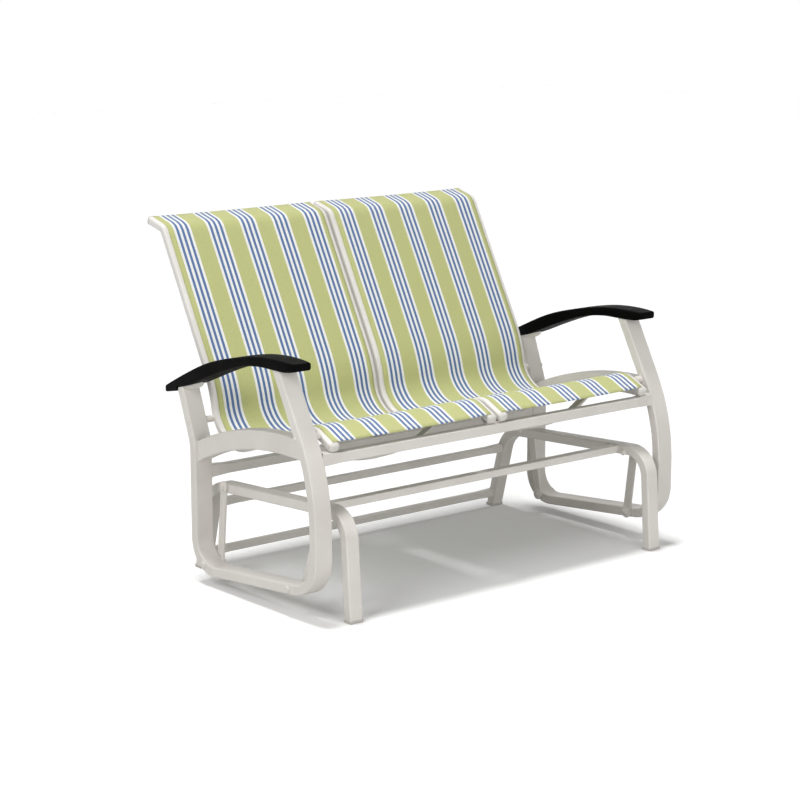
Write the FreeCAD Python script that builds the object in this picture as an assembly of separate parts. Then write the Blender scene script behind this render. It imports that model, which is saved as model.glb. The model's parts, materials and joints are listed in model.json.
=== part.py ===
"""A two-seat glider bench for a patio or porch.

A fixed base of two bent tube sides and three cross tubes stands on the floor. Four hanger
links hang from it and carry the bench between them: two looped side frames, their arched
rails and arms, two cross rails and two sling seats. The bench swings fore and aft while the
base stands still.

Profiles are drawn in the side plane as (y, z) pairs, with y running from the front feet
towards the back and z up from the floor. X runs across the bench. All sizes are millimetres.
"""
import FreeCAD
import Part
import math
import os

from FreeCAD import Vector

# Stations across the bench, measured from its middle plane
FRAME_X = 575.0
BASE_X = 505.0
OUTER_RAIL_X = 516.5
INNER_RAIL_X = 18.5

# Small distances that only help the solids along
OVERCUT = 1.0
NEAR = 0.01

# Tube sections: across is along X, thick is in the side plane
FRAME_ACROSS = 50.8
FRAME_THICK = 25.4
FRAME_WALL = 2.0
BASE_ACROSS = 38.1
BASE_THICK = 25.4
BASE_WALL = 2.0
ARCH_ACROSS = 38.1
ARCH_TALL = 49.0
ARCH_WALL = 2.0
TUBE_CORNER = 3.5

# Base side: a tube bent to an inverted U
BASE_RAIL_REAR_Z = 236.0
BASE_RAIL_REAR_Y = 486.0
BASE_RAIL_SLOPE = 0.055
BASE_FRONT_FOOT_Y = 5.5
BASE_FRONT_LEG_SLOPE = 0.068
BASE_REAR_FOOT_Y = 629.0
BASE_REAR_LEG_SLOPE = 0.255
BASE_FRONT_BEND = 66.0
BASE_REAR_BEND = 80.0

# Feet
GLIDE_TALL = 7.0
GLIDE_LIP = 1.0
GLIDE_EDGE = 2.0
GLIDE_PLUG = 20.0
PLUG_CLEARANCE = 0.1

# Cross tubes of the base
BRACE_SIZE = 19.0
BRACE_WALL = 1.6
BRACE_CORNER = 2.5
FRONT_BRACE_DEEP = 25.4
FRONT_BRACE_Y = 131.0
REAR_BRACE_UPPER_Z = 177.0
REAR_BRACE_LOWER_Z = 40.0
BRACE_FLARE_TALL = 25.0
FRONT_BRACE_FLARE_TALL = 20.0
FLARE_LENGTH = 52.0

# Side frame of the bench: a tube bent to a U, open under the arm
REAR_UPRIGHT_Y = 530.5
REAR_LEAN_START_Z = 355.0
REAR_LEAN = 20.5
REAR_LEAN_RADIUS = 120.0
RUNNER_REAR_Z = 42.0
RUNNER_REAR_Y = 433.0
RUNNER_SLOPE = 0.088
FRONT_UPRIGHT_Y = 40.0
FRONT_LEAN_START_Z = 220.0
FRONT_LEAN = 28.5
FRONT_LEAN_RADIUS = 475.0
FRAME_REAR_BEND = 74.0
FRAME_FRONT_BEND = 84.0
FRAME_OVERLENGTH = 60.0

# Arched rail that joins the two uprights
ARCH_APEX_Y = 165.0
ARCH_APEX_Z = 416.5
ARCH_RADIUS = 829.0

# Cross rails of the bench
CROSS_SIZE = 25.4
CROSS_WALL = 2.0
CROSS_CORNER = 3.0
CROSS_FLARE_TALL = 34.0
CROSS_FLARE_RISE = 1.5
FRONT_CROSS_Z = 390.0
REAR_CROSS_Z = 280.0

# Hanger links and their pivots
UPPER_FRONT_Y = 97.0
UPPER_FRONT_RISE = -6.6
UPPER_REAR_Y = 502.0
UPPER_REAR_RISE = 3.0
LOWER_FRONT_Y = 140.0
LOWER_REAR_Y = 490.0
LOWER_REAR_RISE = 13.6
LINK_THICK = 5.0
LINK_WIDE = 24.0
EYE_RADIUS = 15.0
EYE_BORE = 8.0
LINK_GAP = 1.6
LINK_CRANK_START = 3.75
LINK_CRANK_BEND = 12.0
BUSH_FLANGE = 1.2
BUSH_FLANGE_RADIUS = 12.5
BOLT_RADIUS = 4.5
OPEN_PIVOT_CLEARANCE = 1.9
RUNNING_CLEARANCE = 0.06
SIDE_CLEARANCE = 0.3
BOLT_HEAD_RADIUS = 9.0
BOLT_HEAD_TALL = 4.5
NUT_RADIUS = 8.0
NUT_TALL = 6.5
HEAD_EASE = 0.5

# Sling rails: the line of their centres, front end first
RAIL_FRONT = (67.2, 418.7)
RAIL_HUMP = (131.0, 449.5)
RAIL_SEAT_BACK = (519.5, 318.5)
RAIL_LUMBAR = (552.0, 490.0)
RAIL_TOP_BEND = (756.5, 866.0)
RAIL_END = (815.5, 881.8)
HUMP_RADIUS = 50.0
SEAT_BACK_RADIUS = 102.5
LUMBAR_RADIUS = 302.5
TOP_BEND_RADIUS = 26.0
RAIL_WIDE = 27.0
RAIL_DEEP = 21.0
RAIL_CORNER = 6.5
RAIL_WALL = 2.0
SLOT_MOUTH = 3.0
SLOT_RADIUS = 3.6
SLOT_DEPTH = 7.5
CAP_LENGTH = 4.5
CAP_NOSE = 3.0
CAP_LIP = 0.8
CAP_PLUG = 14.0

# Slings
FABRIC_THICK = 1.2
FABRIC_CLEARANCE = 0.3
FABRIC_END_MARGIN = 1.5
FABRIC_TRIM = 60.0
SPLINE_RADIUS = 2.4
SPLINE_DROP = 0.4

# Bowed spreader bars that hold the rails apart
SPREADER_WIDE = 38.0
SPREADER_THICK = 6.0
SEAT_SPREADER_Y = 238.0
SEAT_SPREADER_SAG = 84.0
BACK_SPREADER_Z = 775.0
BACK_SPREADER_SAG = 46.0
SPREADER_PAD = 20.0

# Spacers between the side frames and the outer rails
SPACER_RADIUS = 9.0
REAR_SPACER_Z = 409.0
REAR_SPACER_FORWARD = 7.2
FRONT_SPACER_Z = 440.5
FRONT_SPACER_BACK = 9.5
SPACER_BOLT_RADIUS = 3.2
SPACER_HEAD_RADIUS = 5.5
SPACER_HEAD_TALL = 3.2

# Brackets under the two middle rails
BRACKET_WIDE = 52.0
BRACKET_THICK = 4.0
BRACKET_FOLD = 6.0
FRONT_BRACKET_FOOT = 12.0
FRONT_BRACKET_TOE_ROOM = 1.15867
FRONT_BRACKET_REST = (30.0, 49.0)
REAR_BRACKET_ANGLE = 22.0
REAR_BRACKET_REST = 40.0
REAR_BRACKET_FOOT = (-6.0, 11.7)
SEAT_GAP = 0.2

# Arms
ARM_WIDE = 66.0
ARM_TIP_WIDE = 54.0
ARM_FRONT_Y = 112.0
ARM_REAR_Y = 641.0
ARM_EDGE = 6.0
ARM_TIP_CORNER = 9.6
ARM_NOSE_DROP = 0.4
ARM_SEAT_OVERHANG = 2.0
ARM_MOUNT_THICK = 7.0
ARM_MOUNT_WIDE = 44.0
ARM_MOUNT_LONG = 96.0
ARM_SEAT = (597.0, 489.2)
ARM_SEAT_SLOPE = -0.262
ARM_SEAT_LONG = 98.0
ARM_STEP = 8.0
ARM_SCREW_RADIUS = 3.0
ARM_SCREW_HEAD = 6.0
ARM_SCREW_ROOM = 0.5
ARM_FRONT_LOW_Z = 604.0
ARM_FRONT_HIGH_Z = 619.0
ARM_UNDER_Z = 597.5
ARM_UNDER_FRONT_Y = 158.0
ARM_UNDER_REAR_Y = 232.0
ARM_UNDER_MID = (330.0, 577.0)
ARM_CREST_Y = 175.0
ARM_CREST_Z = 621.0
ARM_TOP_MID = (430.0, 578.5)
ARM_REAR_HIGH_Z = 495.0
ARM_REAR_LOW_Z = 470.0


def unit(a, b):
    """Direction from a to b in the side plane."""
    length = math.hypot(b[0] - a[0], b[1] - a[1])
    return ((b[0] - a[0]) / length, (b[1] - a[1]) / length)


def side_point(p, x=0.0):
    return Vector(x, p[0], p[1])


def cross_point(p, y=0.0):
    """A point of a profile drawn across the bench as (x, z)."""
    return Vector(p[0], y, p[1])


def fillet_path(points, radii, place):
    """Straight runs joined by tangent arcs, as a wire. place turns a pair into a vector."""
    edges = []
    start = points[0]
    for i, radius in enumerate(radii, start=1):
        corner = points[i]
        u = unit(corner, points[i - 1])
        v = unit(corner, points[i + 1])
        half = math.acos(u[0] * v[0] + u[1] * v[1]) / 2
        reach = radius / math.tan(half)
        bisector = unit((0, 0), (u[0] + v[0], u[1] + v[1]))
        mid_reach = radius / math.sin(half) - radius
        first = (corner[0] + u[0] * reach, corner[1] + u[1] * reach)
        middle = (corner[0] + bisector[0] * mid_reach, corner[1] + bisector[1] * mid_reach)
        last = (corner[0] + v[0] * reach, corner[1] + v[1] * reach)
        edges.append(Part.LineSegment(place(start), place(first)).toShape())
        edges.append(Part.Arc(place(first), place(middle), place(last)).toShape())
        start = last
    edges.append(Part.LineSegment(place(start), place(points[-1])).toShape())
    return Part.Wire(edges)


def rounded_rectangle(centre, along_u, along_v, u_size, v_size, corner):
    """Closed wire of a rectangle with round corners, spanned by two unit vectors."""
    hu = u_size / 2
    hv = v_size / 2
    bend = corner * (1 - math.sqrt(0.5))

    def at(u, v):
        return centre + along_u * u + along_v * v

    edges = []
    for su, sv in ((1, -1), (1, 1), (-1, 1), (-1, -1)):
        if su * sv < 0:
            first = at(su * (hu - corner), sv * hv)
            last = at(su * hu, sv * (hv - corner))
        else:
            first = at(su * hu, sv * (hv - corner))
            last = at(su * (hu - corner), sv * hv)
        middle = at(su * (hu - bend), sv * (hv - bend))
        if edges:
            edges.append(Part.LineSegment(edges[-1].Vertexes[-1].Point, first).toShape())
        edges.append(Part.Arc(first, middle, last).toShape())
    edges.append(Part.LineSegment(edges[-1].Vertexes[-1].Point, edges[0].Vertexes[0].Point).toShape())
    return Part.Wire(edges)


def swept(path, face):
    """Solid swept by a face, with the holes of that face as bores, along a planar path."""
    solid = path.makePipeShell([face.OuterWire], True, False)
    for wire in face.Wires:
        if not wire.isSame(face.OuterWire):
            solid = solid.cut(path.makePipeShell([wire], True, False))
    return solid


def bent_tube(points, radii, x, across, thick, wall, corner):
    """Rectangular tube bent in the side plane."""
    path = fillet_path(points, radii, lambda p: side_point(p, x))
    tangent = unit(points[0], points[1])
    normal = Vector(0, -tangent[1], tangent[0])
    start = side_point(points[0], x)
    sideways = Vector(1, 0, 0)
    outline = rounded_rectangle(start, sideways, normal, across, thick, corner)
    bore = rounded_rectangle(start, sideways, normal, across - 2 * wall, thick - 2 * wall, corner - wall / 2)
    return swept(path, Part.Face(outline).cut(Part.Face(bore)).Faces[0])


def slab(y0, y1, z0, z1, half_x):
    """Box across the whole bench, used to trim ends."""
    return Part.makeBox(2 * half_x, y1 - y0, z1 - z0, Vector(-half_x, y0, z0))


def extruded(points, x0, x1):
    """Closed side-plane outline of straight runs, extruded from x0 to x1."""
    wire = Part.makePolygon([side_point(p, x0) for p in points + [points[0]]])
    return Part.Face(wire).extrude(Vector(x1 - x0, 0, 0))


def rod(y, z, x0, x1, radius):
    """Round bar along X."""
    return Part.makeCylinder(radius, abs(x1 - x0), Vector(min(x0, x1), y, z), Vector(1, 0, 0))


def mirrored(shape):
    return shape.mirror(Vector(0, 0, 0), Vector(1, 0, 0))


def base_rail_z(y):
    return BASE_RAIL_REAR_Z + (BASE_RAIL_REAR_Y - y) * BASE_RAIL_SLOPE


def base_bend_z(y):
    """Centre height of the base tube over its front bend and rail."""
    corner_y = BASE_FRONT_FOOT_Y + BASE_FRONT_LEG_SLOPE * base_rail_z(0)
    turn = math.radians(90) - math.atan(BASE_RAIL_SLOPE) + math.atan(BASE_FRONT_LEG_SLOPE)
    end_y = corner_y + BASE_FRONT_BEND * math.tan(turn / 2)
    if y >= end_y:
        return base_rail_z(y)
    drop = BASE_FRONT_BEND - math.sqrt(BASE_FRONT_BEND ** 2 - (end_y - y) ** 2)
    return base_rail_z(y) - drop


def runner_z(y):
    return RUNNER_REAR_Z + (RUNNER_REAR_Y - y) * RUNNER_SLOPE


def rear_upright_y(z):
    """Centre of the rear upright at a height above its lower bend."""
    return REAR_UPRIGHT_Y + max(0.0, z - REAR_LEAN_START_Z) * math.tan(math.radians(REAR_LEAN))


def front_upright_y(z):
    """Centre of the front upright at a height on its long curve or the run above it."""
    rise = z - FRONT_LEAN_START_Z
    curve = FRONT_LEAN_RADIUS * math.sin(math.radians(FRONT_LEAN))
    if rise <= 0:
        return FRONT_UPRIGHT_Y
    if rise <= curve:
        return FRONT_UPRIGHT_Y + FRONT_LEAN_RADIUS - math.sqrt(FRONT_LEAN_RADIUS ** 2 - rise ** 2)
    shift = FRONT_LEAN_RADIUS * (1 - math.cos(math.radians(FRONT_LEAN)))
    return FRONT_UPRIGHT_Y + shift + (rise - curve) * math.tan(math.radians(FRONT_LEAN))


def upper_pivot(front):
    if front:
        return (UPPER_FRONT_Y, base_bend_z(UPPER_FRONT_Y) + UPPER_FRONT_RISE)
    return (UPPER_REAR_Y, base_rail_z(UPPER_REAR_Y) + UPPER_REAR_RISE)


def lower_pivot(front):
    if front:
        return (LOWER_FRONT_Y, runner_z(LOWER_FRONT_Y))
    return (LOWER_REAR_Y, runner_z(LOWER_REAR_Y) + LOWER_REAR_RISE)


# Faces that other pieces meet
FRAME_INNER_X = FRAME_X - FRAME_ACROSS / 2
FRAME_OUTER_X = FRAME_X + FRAME_ACROSS / 2
BASE_INNER_X = BASE_X - BASE_ACROSS / 2
BASE_OUTER_X = BASE_X + BASE_ACROSS / 2
LINK_TOP_X = BASE_OUTER_X + LINK_GAP + LINK_THICK / 2
LINK_FOOT_X = FRAME_INNER_X - LINK_GAP - LINK_THICK / 2


def base_side():
    """Left base side, bent to an inverted U and cut level at the feet."""
    front = (BASE_FRONT_FOOT_Y, 0.0)
    rear = (BASE_REAR_FOOT_Y, 0.0)
    rail_front_y = BASE_FRONT_FOOT_Y + BASE_FRONT_LEG_SLOPE * base_rail_z(0)
    front_corner = (rail_front_y, base_rail_z(rail_front_y))
    rail_zero = base_rail_z(0)
    rise = BASE_REAR_FOOT_Y / BASE_REAR_LEG_SLOPE - rail_zero
    rear_corner_y = rise / (1 / BASE_REAR_LEG_SLOPE - BASE_RAIL_SLOPE)
    rear_corner = (rear_corner_y, base_rail_z(rear_corner_y))
    points = [front, front_corner, rear_corner, rear]
    radii = [BASE_FRONT_BEND, BASE_REAR_BEND]
    tube = bent_tube(points, radii, -BASE_X, BASE_ACROSS, BASE_THICK, BASE_WALL, TUBE_CORNER)
    tube = tube.cut(slab(-BASE_THICK, BASE_REAR_FOOT_Y + BASE_THICK, -BASE_THICK, GLIDE_TALL, FRAME_X))
    for is_front in (True, False):
        y, z = upper_pivot(is_front)
        tube = tube.cut(rod(y, z, -BASE_OUTER_X - OVERCUT, -BASE_INNER_X + OVERCUT, BOLT_RADIUS))
    return tube


def foot_glide(front):
    """Moulded foot: a pad as wide as the tube and a plug that fills its bore."""
    slope = BASE_FRONT_LEG_SLOPE if front else -BASE_REAR_LEG_SLOPE
    foot_y = BASE_FRONT_FOOT_Y if front else BASE_REAR_FOOT_Y
    stretch = math.sqrt(1 + slope ** 2)
    half = BASE_THICK / 2 * stretch + GLIDE_LIP
    pad_y = foot_y + slope * GLIDE_TALL / 2
    pad = Part.makeBox(BASE_ACROSS + 2 * GLIDE_LIP, 2 * half, GLIDE_TALL)
    pad.translate(Vector(-BASE_X - BASE_ACROSS / 2 - GLIDE_LIP, pad_y - half, 0))
    eased = [e for e in pad.Edges if e.BoundBox.ZLength > GLIDE_EDGE or e.BoundBox.ZMax < GLIDE_EDGE]
    pad = pad.makeFillet(GLIDE_EDGE, eased)
    inner_half = (BASE_THICK / 2 - BASE_WALL - PLUG_CLEARANCE) * stretch
    z0 = GLIDE_TALL - OVERCUT
    z1 = GLIDE_TALL + GLIDE_PLUG
    outline = [
        (foot_y + slope * z0 - inner_half, z0),
        (foot_y + slope * z0 + inner_half, z0),
        (foot_y + slope * z1 + inner_half, z1),
        (foot_y + slope * z1 - inner_half, z1),
    ]
    reach = BASE_ACROSS / 2 - BASE_WALL - PLUG_CLEARANCE
    plug = extruded(outline, -BASE_X - reach, -BASE_X + reach)
    rails = [e for e in plug.Edges if e.BoundBox.ZLength > GLIDE_PLUG / 2]
    plug = plug.makeFillet(TUBE_CORNER - BASE_WALL / 2, rails)
    return pad.fuse(plug).removeSplitter()


def cross_tube(y, z, deep, tall, wall, corner, half_length, flare_tall, flare_rise):
    """Square tube across the bench whose ends are pressed taller where they meet the sides."""
    def skin(shrink):
        wires = []
        for x in (-half_length, FLARE_LENGTH - half_length, half_length - FLARE_LENGTH, half_length):
            at_end = abs(x) == half_length
            height = flare_tall if at_end else tall
            depth = deep - (flare_tall - tall) / 2 if at_end else deep
            centre = Vector(x, y, z + (flare_rise if at_end else 0))
            wires.append(rounded_rectangle(centre, Vector(0, 1, 0), Vector(0, 0, 1),
                                           depth - shrink, height - shrink, corner - shrink / 4))
        return Part.makeLoft(wires, True, True)

    return skin(0).cut(skin(2 * wall))


def frame_points():
    """Centre line of the side frame, rear top first."""
    top_z = ARM_SEAT[1] + FRAME_OVERLENGTH
    rear_top = (rear_upright_y(top_z), top_z)
    lean_corner = (REAR_UPRIGHT_Y, REAR_LEAN_START_Z)
    rear_low = (REAR_UPRIGHT_Y, runner_z(REAR_UPRIGHT_Y))
    front_low = (FRONT_UPRIGHT_Y, runner_z(FRONT_UPRIGHT_Y))
    tangent_rise = FRONT_LEAN_RADIUS * math.tan(math.radians(FRONT_LEAN) / 2)
    front_corner = (FRONT_UPRIGHT_Y, FRONT_LEAN_START_Z + tangent_rise)
    arm_z = ARM_UNDER_Z + FRAME_OVERLENGTH
    front_top = (front_upright_y(arm_z), arm_z)
    points = [rear_top, lean_corner, rear_low, front_low, front_corner, front_top]
    radii = [REAR_LEAN_RADIUS, FRAME_REAR_BEND, FRAME_FRONT_BEND, FRONT_LEAN_RADIUS]
    return points, radii


def arm_seat_point(along, above=0.0):
    """Point on the seat that the rear mount and the arm share, measured forward along it."""
    slope_length = math.sqrt(1 + ARM_SEAT_SLOPE ** 2)
    y = ARM_SEAT[0] - along / slope_length + above * -ARM_SEAT_SLOPE / slope_length
    z = ARM_SEAT[1] - along * ARM_SEAT_SLOPE / slope_length + above / slope_length
    return (y, z)


def arm_profile():
    """Side face of the arm: flat over the front upright, bowed back to the rear mount."""
    seat_rear = arm_seat_point(-ARM_SEAT_OVERHANG, ARM_MOUNT_THICK)
    seat_front = arm_seat_point(ARM_SEAT_LONG, ARM_MOUNT_THICK)
    step = arm_seat_point(-ARM_SEAT_OVERHANG, ARM_MOUNT_THICK - ARM_STEP)
    low_rear = (ARM_REAR_Y, ARM_REAR_LOW_Z)
    high_rear = (ARM_REAR_Y, ARM_REAR_HIGH_Z)
    crest = (ARM_CREST_Y, ARM_CREST_Z)
    high_front = (ARM_FRONT_Y, ARM_FRONT_HIGH_Z)
    low_front = (ARM_FRONT_Y, ARM_FRONT_LOW_Z)
    flat_front = (ARM_UNDER_FRONT_Y, ARM_UNDER_Z)
    flat_rear = (ARM_UNDER_REAR_Y, ARM_UNDER_Z)
    nose = ((ARM_FRONT_Y + ARM_CREST_Y) / 2, ARM_CREST_Z - ARM_NOSE_DROP)
    edges = [
        Part.LineSegment(side_point(low_front), side_point(flat_front)),
        Part.LineSegment(side_point(flat_front), side_point(flat_rear)),
        Part.Arc(side_point(flat_rear), side_point(ARM_UNDER_MID), side_point(seat_front)),
        Part.LineSegment(side_point(seat_front), side_point(seat_rear)),
        Part.LineSegment(side_point(seat_rear), side_point(step)),
        Part.LineSegment(side_point(step), side_point(low_rear)),
        Part.LineSegment(side_point(low_rear), side_point(high_rear)),
        Part.Arc(side_point(high_rear), side_point(ARM_TOP_MID), side_point(crest)),
        Part.Arc(side_point(crest), side_point(nose), side_point(high_front)),
        Part.LineSegment(side_point(high_front), side_point(low_front)),
    ]
    return Part.Face(Part.Wire([e.toShape() for e in edges]))


def arm_plan():
    """Top view of the arm: widest past the middle, narrower at the round-cornered tips."""
    half = ARM_WIDE / 2
    tip = ARM_TIP_WIDE / 2
    middle_y = (ARM_FRONT_Y + ARM_REAR_Y) / 2

    def at(x, y):
        return Vector(x, y, 0)

    corners = [at(-tip, ARM_FRONT_Y), at(tip, ARM_FRONT_Y), at(tip, ARM_REAR_Y), at(-tip, ARM_REAR_Y)]
    edges = [
        Part.LineSegment(corners[0], corners[1]),
        Part.Arc(corners[1], at(half, middle_y), corners[2]),
        Part.LineSegment(corners[2], corners[3]),
        Part.Arc(corners[3], at(-half, middle_y), corners[0]),
    ]
    return Part.Face(Part.Wire([e.toShape() for e in edges]))


def arm():
    """Left arm, moulded solid, with eased edges all round."""
    profile = arm_profile().extrude(Vector(ARM_WIDE, 0, 0))
    profile.translate(Vector(-ARM_WIDE / 2, 0, 0))
    plan = arm_plan().extrude(Vector(0, 0, ARM_CREST_Z + ARM_EDGE))
    body = profile.common(plan)
    tips = [e for e in body.Edges
            if e.BoundBox.ZLength > ARM_EDGE / 2 and max(e.BoundBox.XLength, e.BoundBox.YLength) < NEAR]
    body = body.makeFillet(ARM_TIP_CORNER, tips)
    rims = [e for e in body.Edges
            if e.BoundBox.YLength > ARM_TIP_WIDE / 2 and e.BoundBox.ZMax > ARM_UNDER_Z + ARM_EDGE / 2]
    body = body.makeFillet(ARM_EDGE, rims)
    body.translate(Vector(-FRAME_X, 0, 0))
    return body


def arm_mount():
    """Tab on top of the rear upright, round at its front end, that the arm is screwed to."""
    half = ARM_MOUNT_WIDE / 2
    straight = ARM_MOUNT_LONG - half
    outline = [
        Part.LineSegment(Vector(-half, 0, 0), Vector(-half, -straight, 0)),
        Part.Arc(Vector(-half, -straight, 0), Vector(0, -ARM_MOUNT_LONG, 0), Vector(half, -straight, 0)),
        Part.LineSegment(Vector(half, -straight, 0), Vector(half, 0, 0)),
        Part.LineSegment(Vector(half, 0, 0), Vector(-half, 0, 0)),
    ]
    plate = Part.Face(Part.Wire([e.toShape() for e in outline])).extrude(Vector(0, 0, ARM_MOUNT_THICK))
    below = Vector(0, -straight, -OVERCUT)
    hole = Part.makeCylinder(ARM_SCREW_RADIUS, ARM_MOUNT_THICK + 2 * OVERCUT, below)
    sink = Part.makeCylinder(ARM_SCREW_HEAD + ARM_SCREW_ROOM, ARM_MOUNT_THICK / 2 + OVERCUT, below)
    plate = plate.cut(hole).cut(sink)
    plate.rotate(Vector(0, 0, 0), Vector(1, 0, 0), math.degrees(math.atan(ARM_SEAT_SLOPE)))
    plate.translate(side_point(ARM_SEAT, -FRAME_X))
    return plate


def arm_screws():
    """Screws up through the rear mounts and the tops of the front uprights."""
    straight = ARM_MOUNT_LONG - ARM_MOUNT_WIDE / 2
    base = arm_seat_point(straight)
    lift = unit((0, 0), (-ARM_SEAT_SLOPE, 1))
    direction = Vector(0, lift[0], lift[1])
    head_base = side_point(base, -FRAME_X)
    head = Part.makeCylinder(ARM_SCREW_HEAD, ARM_MOUNT_THICK / 2, head_base, direction)
    shank = Part.makeCylinder(ARM_SCREW_RADIUS, ARM_MOUNT_THICK, head_base, direction)
    rear = head.fuse(shank).removeSplitter()
    return [rear, mirrored(rear)]


def side_frame():
    """Left side frame with its open ends cut to the arm and to the rear arm mount."""
    points, radii = frame_points()
    tube = bent_tube(points, radii, -FRAME_X, FRAME_ACROSS, FRAME_THICK, FRAME_WALL, TUBE_CORNER)
    outer_x = -FRAME_OUTER_X - OVERCUT
    inner_x = -FRAME_INNER_X + OVERCUT
    rear = -FRAME_ACROSS
    front = ARM_MOUNT_LONG + FRAME_ACROSS
    top = 2 * FRAME_OVERLENGTH
    above_mount = [(rear, 0), (front, 0), (front, top), (rear, top)]
    tube = tube.cut(extruded([arm_seat_point(*p) for p in above_mount], outer_x, inner_x))
    upright_y = front_upright_y(ARM_UNDER_Z)
    tube = tube.cut(slab(upright_y - FRAME_ACROSS, upright_y + 2 * FRAME_ACROSS,
                         ARM_UNDER_Z, ARM_UNDER_Z + top, -outer_x))
    for is_front in (True, False):
        y, z = lower_pivot(is_front)
        tube = tube.cut(rod(y, z, outer_x, inner_x, BOLT_RADIUS))
    for y, z in spacer_places():
        tube = tube.cut(rod(y, z, outer_x, inner_x, SPACER_BOLT_RADIUS))
    return tube


def arch_z(y, radius):
    """Height of an arc about the arched rail's centre."""
    return ARCH_APEX_Z - ARCH_RADIUS + math.sqrt(radius ** 2 - (y - ARCH_APEX_Y) ** 2)


def front_upright_block():
    """Block in front of a straight saw cut across the hollow of the front upright's curve."""
    centre_y = FRONT_UPRIGHT_Y + FRONT_LEAN_RADIUS
    inner = FRONT_LEAN_RADIUS - FRAME_THICK / 2
    near_y = front_upright_y(ARCH_APEX_Z) + FRAME_THICK / 2
    face = []
    for z in (arch_z(near_y, ARCH_RADIUS - ARCH_TALL / 2), arch_z(near_y, ARCH_RADIUS + ARCH_TALL / 2)):
        face.append((centre_y - math.sqrt(inner ** 2 - (z - FRONT_LEAN_START_Z) ** 2), z))
    run = (face[1][0] - face[0][0]) / (face[1][1] - face[0][1])
    low = (face[0][0] - run * ARCH_TALL, face[0][1] - ARCH_TALL)
    high = (face[1][0] + run * ARCH_TALL, face[1][1] + ARCH_TALL)
    return extruded([low, high, (0, high[1]), (0, low[1])], -FRAME_OUTER_X, -FRAME_INNER_X)


def rear_upright_block():
    """Block behind two saw cuts that follow the rear upright to the start of its lean."""
    bend_z = REAR_LEAN_START_Z - REAR_LEAN_RADIUS * math.tan(math.radians(REAR_LEAN) / 2)
    outer = REAR_LEAN_RADIUS + FRAME_THICK / 2
    face_y = REAR_UPRIGHT_Y - FRAME_THICK / 2
    top_z = arch_z(face_y, ARCH_RADIUS + ARCH_TALL / 2)
    rise = top_z - bend_z
    depth = math.sqrt(outer ** 2 - rise ** 2)
    top_y = REAR_UPRIGHT_Y + REAR_LEAN_RADIUS - depth
    knee_z = top_z - (top_y - face_y) * depth / rise
    over = (top_y + ARCH_TALL * rise / depth, top_z + ARCH_TALL)
    back = REAR_UPRIGHT_Y + FRAME_ACROSS
    points = [(face_y, 0), (face_y, knee_z), (top_y, top_z), over, (back, over[1]), (back, 0)]
    return extruded(points, -FRAME_OUTER_X, -FRAME_INNER_X)


def side_arch():
    """Bowed rail between the uprights, its ends sawn to meet them."""
    front_y = FRONT_UPRIGHT_Y + 1.5 * FRAME_THICK

    def strip(across, tall):
        inner = ARCH_RADIUS - tall / 2
        outer = ARCH_RADIUS + tall / 2
        stations = (front_y, (front_y + REAR_UPRIGHT_Y) / 2, REAR_UPRIGHT_Y)
        top = [side_point((y, arch_z(y, outer))) for y in stations]
        bottom = [side_point((y, arch_z(y, inner))) for y in reversed(stations)]
        edges = [
            Part.Arc(*top).toShape(),
            Part.LineSegment(top[-1], bottom[0]).toShape(),
            Part.Arc(*bottom).toShape(),
            Part.LineSegment(bottom[-1], top[0]).toShape(),
        ]
        face = Part.Face(Part.Wire(edges))
        face.translate(Vector(-FRAME_X - across / 2, 0, 0))
        return face.extrude(Vector(across, 0, 0))

    bar = strip(ARCH_ACROSS, ARCH_TALL)
    bar = bar.makeFillet(TUBE_CORNER, [e for e in bar.Edges if e.BoundBox.YLength > ARCH_TALL])
    bar = bar.cut(strip(ARCH_ACROSS - 2 * ARCH_WALL, ARCH_TALL - 2 * ARCH_WALL))
    return bar.cut(front_upright_block()).cut(rear_upright_block()).Solids[0]


def hanger_link(front):
    """Left link: a flat bar with a round eye at each end, cranked outwards on its way down."""
    top = upper_pivot(front)
    foot = lower_pivot(front)
    along = unit(top, foot)
    side = (-along[1], along[0])
    half = LINK_WIDE / 2
    corners = []
    for p, sign in ((top, 1), (foot, 1), (foot, -1), (top, -1)):
        corners.append((p[0] + side[0] * half * sign, p[1] + side[1] * half * sign))
    x0 = -LINK_FOOT_X - LINK_THICK
    x1 = -LINK_TOP_X + LINK_THICK
    bar = extruded(corners, x0, x1)
    for y, z in (top, foot):
        bar = bar.fuse(rod(y, z, x0, x1, EYE_RADIUS))
    outline = bar.removeSplitter()
    crank = EYE_RADIUS + LINK_CRANK_START
    line = [
        (-LINK_TOP_X, top[1] + 2 * EYE_RADIUS),
        (-LINK_TOP_X, top[1] - crank),
        (-LINK_FOOT_X, foot[1] + crank),
        (-LINK_FOOT_X, foot[1] - 2 * EYE_RADIUS),
    ]
    start_y = min(top[0], foot[0]) - 2 * EYE_RADIUS
    path = fillet_path(line, [LINK_CRANK_BEND] * 2, lambda p: cross_point(p, start_y))
    span = abs(top[0] - foot[0]) + 4 * EYE_RADIUS
    section = Part.makePolygon([
        path.Vertexes[0].Point + Vector(dx, dy, 0)
        for dx, dy in ((-LINK_THICK / 2, 0), (LINK_THICK / 2, 0), (LINK_THICK / 2, span),
                       (-LINK_THICK / 2, span), (-LINK_THICK / 2, 0))
    ])
    strap = swept(path, Part.Face(section))
    link = outline.common(strap)
    for y, z in (top, foot):
        link = link.cut(rod(y, z, x0 - OVERCUT, x1 + OVERCUT, EYE_BORE))
    return link


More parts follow.
